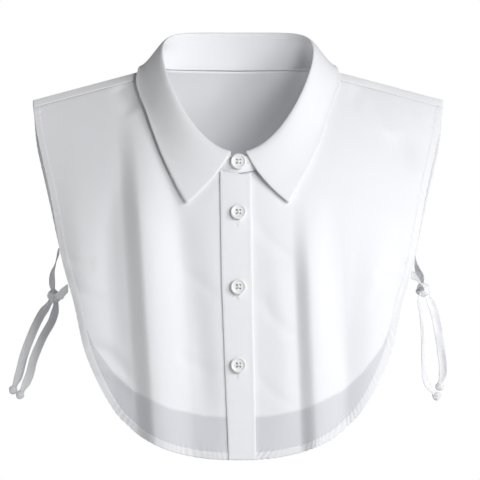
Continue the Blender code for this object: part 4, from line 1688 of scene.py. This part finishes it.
@dataclass
class ShirtButton:
    """A turned four-hole button with its thread."""

    name: str
    place: Array
    normal: Array
    diameter: float = 0.0140
    thickness: float = 0.0030
    rim: float = 0.0016
    dish: float = 0.0008
    hole: float = 0.0017
    pitch: float = 0.0034
    thread: float = 0.00042

    def __post_init__(self) -> None:
        """Sets up the button's own directions: X to the right, and Z along its normal."""
        self.up = unit(np.asarray(self.normal, float))
        side = unit(np.cross(np.array([0.0, 0.0, 1.0]), self.up))
        self.frame = np.stack([-side, np.cross(self.up, -side), self.up])

    def seat(self, points: Array) -> Array:
        """Points of the button's own space, put in their place on the garment."""
        return points @ self.frame + self.place

    def profile(self) -> Array:
        """Half a section from the middle of the face round to the back, its corners rounded.

        Returns:
            Radius and height at each point.
        """
        radius, top = 0.5 * self.diameter, self.thickness
        corners = np.array(
            [
                (0.0, top - self.dish),
                (radius - self.rim - 0.0010, top - self.dish),
                (radius - self.rim - 0.0002, top - 0.3 * self.dish),
                (radius - self.rim + 0.0003, top - 0.00005),
                (radius - 0.0007, top),
                (radius - 0.00015, top - 0.0004),
                (radius, top - 0.0010),
                (radius - 0.0004, 0.0007),
                (radius - 0.0020, 0.0001),
                (0.0, 0.0),
            ]
        )
        fine, _ = fine_curve(corners, 3)
        fine[:, 0] = np.maximum(fine[:, 0], 0.0)
        return fine

    def blank(self) -> bpy.types.Object:
        """The turned body: the section at 64 angles round the axis.

        Returns:
            The body without its holes.
        """
        section, sides = self.profile(), 64
        turn = np.linspace(0.0, 2.0 * math.pi, sides, endpoint=False)
        radius, height = section[1:-1, 0], section[1:-1, 1]
        ring = np.stack(
            [
                radius[:, None] * np.cos(turn)[None],
                radius[:, None] * np.sin(turn)[None],
                np.broadcast_to(height[:, None], (len(height), sides)),
            ],
            axis=-1,
        ).reshape(-1, 3)
        poles = np.array([[0.0, 0.0, section[0, 1]], [0.0, 0.0, section[-1, 1]]])
        faces = tube_faces(len(height), sides).tolist()
        top, last = len(ring), len(ring) - sides
        faces += [[top, k, (k + 1) % sides] for k in range(sides)]
        faces += [[top + 1, last + (k + 1) % sides, last + k] for k in range(sides)]
        item = make_object(self.name, self.seat(np.vstack([ring, poles])), faces)
        mend(item)
        return item

    def holes(self) -> Array:
        """The middles of the four holes, in the button's own space."""
        half = 0.5 * self.pitch
        return np.array([[half, half], [-half, half], [-half, -half], [half, -half]]) * 0.86

    def build(self) -> bpy.types.Object:
        """The body with its four holes cut through.

        Returns:
            The button.
        """
        item = self.blank()
        depth = np.array([-1.0, 2.0]) * self.thickness
        vertices, faces, first = [], [], 0
        sides = 24
        turn = np.linspace(0.0, 2.0 * math.pi, sides, endpoint=False)
        for x, y in self.holes():
            across = x + 0.5 * self.hole * np.cos(turn)
            down = y + 0.5 * self.hole * np.sin(turn)
            for height in depth:
                level = np.full(sides, height)
                vertices.append(self.seat(np.stack([across, down, level], axis=1)))
            lower = first + np.arange(sides)
            upper, turned = lower + sides, np.roll(lower, -1)
            walls = np.stack([lower, turned, turned + sides, upper], axis=1)
            faces += walls.tolist() + [lower[::-1].tolist(), upper.tolist()]
            first += 2 * sides
        points = np.vstack(vertices)
        name = f"{self.name}_holes"
        cutter = make_object(name, points, faces)
        cut = item.modifiers.new("Holes", "BOOLEAN")
        cut.object = cutter
        cut.operation = "DIFFERENCE"
        cut.solver = "EXACT"
        bpy.context.view_layer.update()
        evaluated = item.evaluated_get(bpy.context.evaluated_depsgraph_get())
        mesh = bpy.data.meshes.new_from_object(evaluated)
        item.modifiers.clear()
        item.data = mesh
        mesh.name = self.name
        bpy.data.objects.remove(cutter)
        mesh.set_sharp_from_angle(angle=math.radians(38))
        return item

    def stitching(self) -> bpy.types.Object:
        """The thread through the holes: two crossing bars of three strands each.

        A strand is a tube along a low arch from one hole to the opposite one.

        Returns:
            The thread.
        """
        holes = self.holes()
        vertices, faces, first = [], [], 0
        floor = self.thickness - self.dish
        for a, b in ((0, 2), (1, 3)):
            run = unit(holes[b] - holes[a])
            aside = np.array([-run[1], run[0]])
            for strand in (-1.0, 0.0, 1.0):
                t = np.linspace(0.0, 1.0, 13)
                flat = holes[a] + (holes[b] - holes[a]) * t[:, None]
                flat = flat + aside * (strand * 0.8 * self.thread)
                arch = np.minimum(smooth(t / 0.22), smooth((1.0 - t) / 0.22))
                top = floor + (0.25 + 0.45 * (a == 1)) * self.thread
                height = top * arch + (floor - 0.0016) * (1.0 - arch)
                path = self.seat(np.column_stack([flat, height]))
                radius = np.full(13, 0.5 * self.thread)
                radius[[0, -1]] = 0.00002
                points, quads = swept_tube(path, radius, 7)
                vertices.append(points)
                faces.append(quads + first)
                first += len(points)
        points = np.vstack(vertices)
        name = f"{self.name}_thread"
        item = make_object(name, points, np.vstack(faces).tolist())
        mend(item, fill=True)
        return item


@dataclass
class Buttoning:
    """The four buttons, their thread and their buttonholes."""

    form: WornForm
    collar: Collar
    placket: Placket
    x: float = 0.0005
    heights: tuple[float, ...] = (-0.1220, -0.1880, -0.2580)
    top_rise: float = 0.52
    top_seat: float = 0.0037
    seat: float = 0.0032
    hole_length: float = 0.0165
    hole_drop: float = 0.0036

    def buttons(self) -> list[ShirtButton]:
        """The top button on the stand, then three down the placket, each on its node's seat.

        Returns:
            The buttons, from the top down.
        """
        low, high = (ring(np.array(-180.0)) for ring in (self.form.neck_ring, self.form.fold_ring))
        normal = np.cross(np.array([1.0, 0.0, 0.0]), unit(high - low))
        place = low + (high - low) * self.top_rise + normal * self.top_seat
        place[0] = self.x
        made = [ShirtButton("shirt_button_1", place, normal)]
        for number, z in enumerate(self.heights, start=2):
            drop = self.form.ridge(self.x) - z
            normal = self.form.normal(self.x, drop)
            place = self.form.point(self.x, drop) + normal * self.seat
            made.append(ShirtButton(f"shirt_button_{number}", place, normal))
        return made

    def hole_bars(self, length: float) -> tuple[Array, Array]:
        """A buttonhole's satin stitches in the flat.

        Two rows of short bars lie each side of the slit, and a longer bar tacks each end.

        Args:
            length: The buttonhole's length.

        Returns:
            For each bar, its middle along and across the slit, and its length.
        """
        along = np.arange(-0.5 * length + 0.0005, 0.5 * length, 0.00042)
        rows = [np.stack([along, np.full(len(along), side * 0.00072)], axis=1) for side in (1, -1)]
        ends = [[side * (0.5 * length + 0.0003 * k), 0.0] for side in (1, -1) for k in (0, 1)]
        sizes = np.repeat([0.00115, 0.0026], [2 * len(along), len(ends)])
        return np.vstack([*rows, ends]), sizes

    def buttonholes(self) -> bpy.types.Object:
        """Three upright buttonholes on the placket and a level one on the stand's over end.

        Returns:
            The stitches.
        """
        bars, sizes = self.hole_bars(self.hole_length)
        rows = []
        for z in self.heights:
            height = z - self.hole_drop + bars[:, 0]
            left = self.placket.edge(height, False)
            width = self.placket.edge(height, True) - left
            share = (self.x + bars[:, 1] - left) / width
            middle = self.placket.place(share, height, 0.5 * self.placket.wall)
            ahead = self.placket.place(share + 0.0005 / width, height, 0.5 * self.placket.wall)
            x = np.full(len(height), self.x)
            rows.append((middle, ahead, self.form.facing(x, height)))
        level = -180.0 + np.degrees((bars[:, 0] - 0.0032) / self.form.fold_half)
        rise = self.top_rise + bars[:, 1] / 0.020
        middle = self.collar.stand_place(level, rise, 0.5 * self.collar.wall)
        ahead = self.collar.stand_place(level, rise + 0.02, 0.5 * self.collar.wall)
        rows.append((middle, ahead, self.form.off_stand(level)))
        return stitches_object("buttonholes", rows, np.tile(sizes, len(rows)), 0.00040)


# Ties


@dataclass(frozen=True)
class KnotShape:
    """A knot: its place, its size along its own axes, its lean in degrees and its turns."""

    place: tuple[float, float, float]
    size: tuple[float, float, float]
    tilt: float
    turns: float


BIG_KNOT = (0.0125, 0.0100, 0.0135)
END_KNOT = (0.0078, 0.0064, 0.0085)
KNOTS = {
    "tie_left_knot": KnotShape((-0.1655, 0.0000, -0.1970), BIG_KNOT, -25, 2.5),
    "tie_right_knot": KnotShape((0.1665, 0.0000, -0.1910), BIG_KNOT, 20, 2.5),
    "tie_left_back_end_knot": KnotShape((-0.2025, 0.0020, -0.2812), END_KNOT, -25, 1.5),
    "tie_left_front_end_knot": KnotShape((-0.1962, -0.0050, -0.2855), END_KNOT, -30, 1.5),
    "tie_right_back_end_knot": KnotShape((0.1815, 0.0030, -0.2780), END_KNOT, 15, 1.5),
    "tie_right_front_end_knot": KnotShape((0.1789, -0.0040, -0.2867), END_KNOT, 50, 1.5),
}


@dataclass(frozen=True)
class TieRoute:
    """One tape: its knot, its panel, and the points (x, y, z, turn) before and after the knot."""

    name: str
    knot: str
    side: int
    face: int
    exit_z: float
    lead: tuple[tuple[float, float, float, float], ...]
    tail: tuple[tuple[float, float, float, float], ...]


TIE_ROUTES = (
    TieRoute(
        "tie_left_back",
        "tie_left_knot",
        -1,
        -1,
        -0.1570,
        ((-0.1645, 0.0290, -0.1665, 15), (-0.1675, 0.0140, -0.1800, 40)),
        (
            (-0.1710, 0.0000, -0.2050, 15),
            (-0.1780, 0.0005, -0.2150, 10),
            (-0.1855, 0.0010, -0.2310, 0),
            (-0.1925, 0.0020, -0.2500, -10),
            (-0.1970, 0.0020, -0.2670, -15),
        ),
    ),
    TieRoute(
        "tie_left_front",
        "tie_left_knot",
        -1,
        1,
        -0.1895,
        ((-0.1560, -0.0440, -0.1925, 15), (-0.1600, -0.0190, -0.1965, 40)),
        (
            (-0.1640, -0.0040, -0.2060, 25),
            (-0.1675, -0.0045, -0.2190, 20),
            (-0.1762, -0.0050, -0.2350, 20),
            (-0.1838, -0.0050, -0.2530, 10),
            (-0.1880, -0.0050, -0.2690, 10),
        ),
    ),
    TieRoute(
        "tie_right_back",
        "tie_right_knot",
        1,
        -1,
        -0.1640,
        ((0.1610, 0.0290, -0.1710, 15), (0.1650, 0.0150, -0.1800, 40)),
        (
            (0.1715, 0.0020, -0.1985, 10),
            (0.1765, 0.0030, -0.2100, 0),
            (0.1800, 0.0030, -0.2260, 0),
            (0.1828, 0.0030, -0.2450, -10),
            (0.1848, 0.0030, -0.2640, -15),
        ),
    ),
    TieRoute(
        "tie_right_front",
        "tie_right_knot",
        1,
        1,
        -0.1770,
        ((0.1605, -0.0430, -0.1800, 15), (0.1645, -0.0190, -0.1860, 40)),
        (
            (0.1630, -0.0030, -0.2000, 60),
            (0.1645, -0.0040, -0.2130, 70),
            (0.1658, -0.0040, -0.2320, 75),
            (0.1663, -0.0040, -0.2560, 70),
            (0.1695, -0.0040, -0.2750, 50),
        ),
    ),
)


@dataclass
class SideTies:
    """Four flat tapes, knotted in pairs at the sides, each ending in a small knot."""

    form: WornForm
    fronts: dict[int, FrontPanel]
    back: BackPanel
    width: float = 0.0070
    wall: float = 0.0008
    edge_gap: float = 0.0019
    gather: float = 0.40
    gather_length: float = 0.009
    cup: float = 0.0006
    knot_step: float = 0.20
    knot_gathers: float = 0.05
    knot_lumps: tuple[float, float] = (0.09, 0.06)

    def edge_point(self, tie: TieRoute) -> Array:
        """Where a tape leaves its panel's edge.

        Args:
            tie: The tape.

        Returns:
            The place, and 0 for its turn.
        """
        outline = np.array(self.fronts[1].outline if tie.face > 0 else self.back.outline)
        half = np.interp(-tie.exit_z, -outline[:, 1], outline[:, 0])
        half = half + (self.back.ease if tie.face < 0 else 0.0)
        x = tie.side * half
        place = self.form.point(x, tie.face * (self.form.ridge(x) - tie.exit_z))
        return np.array([place[0] + tie.side * self.edge_gap, place[1], place[2], 0.0])

    def route(self, tie: TieRoute) -> tuple[Array, Array]:
        """The tape's middle line and the direction of its width at each point.

        The width is square to the line and to X before the knot, and square to the line and to Y
        after it, turned by the route's own angle. The two are blended inside the knot.

        Args:
            tie: The tape.

        Returns:
            The line's points and the directions across.
        """
        knot, end = KNOTS[tie.knot], KNOTS[f"{tie.name}_end_knot"]
        lead = np.array(tie.lead, float)
        tail = np.array(tie.tail, float)
        middle = np.array([*knot.place, lead[-1][3]])
        last = np.array([*end.place, tail[-1][3]])
        first_line, _ = fine_curve(np.vstack([self.edge_point(tie), lead, middle]), 10)
        middle_tail = np.array([*knot.place, tail[0][3]])
        second_line, _ = fine_curve(np.vstack([middle_tail, tail, last]), 10)
        across = []
        for line, axis in ((first_line, (1.0, 0.0, 0.0)), (second_line, (0.0, 1.0, 0.0))):
            along = unit(np.gradient(line[:, :3], axis=0))
            level = unit(np.cross(along, np.array(axis)))
            depth = np.cross(level, along)
            turn = np.radians(line[:, 3:])
            across.append(level * np.cos(turn) + depth * np.sin(turn))
        if np.dot(across[0][-1], across[1][0]) < 0.0:
            across[0] = -across[0]
        line = np.vstack([first_line[:-1, :3], second_line[:, :3]])
        direction = np.vstack([across[0][:-1], across[1]])
        kernel = np.hanning(9)
        padded = np.pad(direction, ((4, 4), (0, 0)), mode="edge")
        blended = np.stack(
            [np.convolve(padded[:, k], kernel / kernel.sum(), mode="valid") for k in range(3)],
            axis=1,
        )
        return line, unit(blended)

    def build(self, tie: TieRoute) -> tuple[bpy.types.Object, Array]:
        """One tape: nine points across its width, cupped a little, along its line.

        Args:
            tie: The tape.

        Returns:
            The tape's object and its middle line.
        """
        line, across = self.route(tie)
        width = np.full(len(line), self.width)
        for name in (tie.knot, f"{tie.name}_end_knot"):
            knot = KNOTS[name]
            away = np.linalg.norm(line - np.array(knot.place), axis=1) - 0.5 * knot.size[2]
            width *= 1.0 - self.gather * (1.0 - smooth(away / self.gather_length))
        along = unit(np.gradient(line, axis=0))
        out = np.cross(along, across)
        share = np.linspace(-0.5, 0.5, 9)
        length = run_lengths(line)
        strength = (1.0 + uneven(length, 0.03, 2.0))[:, None]
        cup = self.cup * (4.0 * share[None, :] ** 2 - 0.5) * strength
        edge = 0.00012 * np.exp(-(((np.abs(share) - 0.40) / 0.05) ** 2))[None, :]
        points = line[:, None] + across[:, None] * (width[:, None] * share[None])[..., None]
        points = points + out[:, None] * (cup - edge)[..., None]
        item = closed_sheet(tie.name, points, self.wall)
        mend(item)
        return item, line

    def build_knot(self, name: str) -> bpy.types.Object:
        """A wound knot: an egg whose radius steps where one turn of the tape lies on the next.

        The radius is a superellipse of the height, times 1 plus a sawtooth of the angle and the
        height, which is the tape's edge running round it, fine gathers along it, and the
        lumps that one turn of the tape makes where it is pulled over another.

        Args:
            name: The knot's name.

        Returns:
            The knot.
        """
        knot = KNOTS[name]
        rise = np.linspace(0.0, math.pi, 61)[:, None]
        turn = np.linspace(0.0, 2.0 * math.pi, 73)[None, :]
        wound = knot.turns * rise / math.pi + turn / (2.0 * math.pi)
        step = wound - np.floor(wound)
        saw = smooth(step / 0.22) * (1.0 - 0.75 * step)
        gathers = self.knot_gathers * np.sin(9.0 * turn + 7.0 * rise) * np.sin(rise)
        lumps = self.knot_lumps[0] * np.sin(2.0 * turn - 2.0 * rise)
        lumps = lumps + self.knot_lumps[1] * np.sin(3.0 * turn + 5.0 * rise)
        swell = 0.82 + self.knot_step * saw * np.sin(rise) ** 0.6 + gathers + lumps * np.sin(rise)
        radius = np.sin(rise) ** 0.72 * swell
        half = [0.5 * side for side in knot.size]
        lean = math.radians(knot.tilt)
        x = half[0] * radius * np.cos(turn)
        y = half[1] * radius * np.sin(turn)
        z = half[2] * np.cos(rise) * (0.93 + 0.0 * turn)
        points = np.stack(
            [
                knot.place[0] + x * math.cos(lean) + z * math.sin(lean),
                knot.place[1] + y,
                knot.place[2] - x * math.sin(lean) + z * math.cos(lean),
            ],
            axis=-1,
        )
        flat = cloth_lengths(points).reshape(-1, 2)
        faces = grid_faces(*points.shape[:2]).tolist()
        item = make_object(f"{name}_wound", points.reshape(-1, 3), faces, flat)
        mend(item, weld=0.000002)
        return item


# Studio


@dataclass(frozen=True)
class Lamp:
    """A square area light: where it stands, its side in metres and its power."""

    name: str
    place: tuple[float, float, float]
    size: float
    watts: float


LAMPS = (
    Lamp("key", (2.15, -1.75, 0.85), 1.0, 42.0),
    Lamp("front_key", (1.25, -2.50, 0.65), 0.8, 39.0),
    Lamp("side_fill", (-2.70, -0.50, 0.10), 1.6, 18.0),
    Lamp("back", (-0.60, 3.00, 0.10), 2.0, 34.0),
)


@dataclass
class Studio:
    """A plain pale floor, soft light from the right, and the camera at the photograph's angle."""

    scale: float = 0.0009
    image: int = 480
    distance: float = 14.0
    centre: tuple[float, float] = (0.0018, -0.1463)
    sensor: float = 36.0
    floor_z: float = -0.60
    floor_half: float = 4.0
    surround: float = 0.04
    chest: tuple[float, float, float] = (0.0, 0.0, -0.14)

    def camera(self) -> None:
        """The camera, level with the garment's middle: lens = sensor * distance / width seen."""
        data = bpy.data.cameras.new("camera")
        data.sensor_width = self.sensor
        data.lens = self.sensor * self.distance / (self.scale * self.image)
        data.clip_end = 50.0
        item = bpy.data.objects.new("camera", data)
        item.location = (self.centre[0], -self.distance, self.centre[1])
        item.rotation_euler = (math.radians(90.0), 0.0, 0.0)
        bpy.context.scene.collection.objects.link(item)
        bpy.context.scene.camera = item

    def floor(self) -> None:
        """A white floor under the garment."""
        half, z = self.floor_half, self.floor_z
        corners = [(-half, -half, z), (half, -half, z), (half, half, z), (-half, half, z)]
        mesh = bpy.data.meshes.new("floor")
        mesh.from_pydata(corners, [], [(0, 1, 2, 3)])
        item = bpy.data.objects.new("floor", mesh)
        bpy.context.scene.collection.objects.link(item)
        mesh.materials.append(
            new_material("floor_white", Base_Color=(0.86, 0.86, 0.86, 1.0), Roughness=0.9)[0]
        )

    def light(self, lamp: Lamp) -> None:
        """A square area light that faces the garment's chest.

        Args:
            lamp: The light.
        """
        data = bpy.data.lights.new(lamp.name, "AREA")
        data.size = lamp.size
        data.energy = lamp.watts
        item = bpy.data.objects.new(lamp.name, data)
        aim = np.array(self.chest) - np.array(lamp.place)
        level = math.hypot(aim[0], aim[1])
        item.location = lamp.place
        item.rotation_euler = (
            math.atan2(level, -aim[2]),
            0.0,
            math.atan2(aim[1], aim[0]) - math.pi / 2,
        )
        bpy.context.scene.collection.objects.link(item)

    def world(self) -> None:
        """A white surround that lights softly and is seen pure white."""
        surround = bpy.data.worlds.new("surround")
        bpy.context.scene.world = surround
        surround.use_nodes = True
        tree = surround.node_tree
        tree.nodes.clear()
        rays = tree.nodes.new("ShaderNodeLightPath")
        lit = add_node(tree, "Background", Strength=self.surround, Color=(0.96, 0.97, 1.0, 1.0))
        seen = add_node(tree, "Background", Strength=1.0, Color=(1.0, 1.0, 1.0, 1.0))
        mix = tree.nodes.new("ShaderNodeMixShader")
        out = tree.nodes.new("ShaderNodeOutputWorld")
        sources = (rays.outputs["Is Camera Ray"], lit.outputs[0], seen.outputs[0])
        for source, slot in zip(sources, mix.inputs):
            tree.links.new(source, slot)
        tree.links.new(mix.outputs[0], out.inputs["Surface"])

    def build(self) -> None:
        """Sets up the camera, floor, surround and lights, and shows white as white."""
        bpy.context.scene.view_settings.view_transform = "Standard"
        self.camera()
        self.floor()
        self.world()
        for lamp in LAMPS:
            self.light(lamp)


def main() -> None:
    """Builds the studio, then the ties and each sewn piece in turn."""
    logging.basicConfig(level=logging.INFO, format="%(name)s: %(message)s")
    Studio().build()
    wardrobe = Wardrobe()
    wardrobe.dress_nodes()
    form = WornForm()
    left = FrontPanel(form, Side.LEFT, "front_right")
    right = FrontPanel(form, Side.RIGHT, "front_left")
    back = BackPanel(form)

    ties = SideTies(form, {-1: left, 1: right}, back)
    wound = {}
    for name in KNOTS:
        wound[name] = ties.build_knot(name)
        wardrobe.wear(wound[name], wardrobe.cloth_material)
        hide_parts(name)
    for tie in TIE_ROUTES:
        tape, line = ties.build(tie)
        wardrobe.wear(tape, wardrobe.cloth_material)
        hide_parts(f"{tie.name}_lead", f"{tie.name}_tail")

    for panel in (left, right):
        wardrobe.hang(panel.node, panel.build(), panel.stitches())
    wardrobe.hang("back", back.build(), back.stitches())
    placket = Placket(left)
    wardrobe.hang("placket", placket.build(), placket.stitches())
    collar = Collar(form)
    wardrobe.hang("collar_stand", collar.build_stand(), collar.seam_stitches())
    wardrobe.hang("collar_fall", collar.build_fall())

    buttoning = Buttoning(form, collar, placket)
    for number, button in enumerate(buttoning.buttons(), start=1):
        body, thread = button.build(), button.stitching()
        wardrobe.wear(body, wardrobe.gloss_material)
        wardrobe.wear(thread, wardrobe.thread_material)
        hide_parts(f"button_{number}")
        log.info("%s has %d faces", body.name, len(body.data.polygons))
    sewn = buttoning.buttonholes()
    wardrobe.wear(sewn, wardrobe.thread_material)

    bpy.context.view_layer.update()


if __name__ == "__main__":
    main()
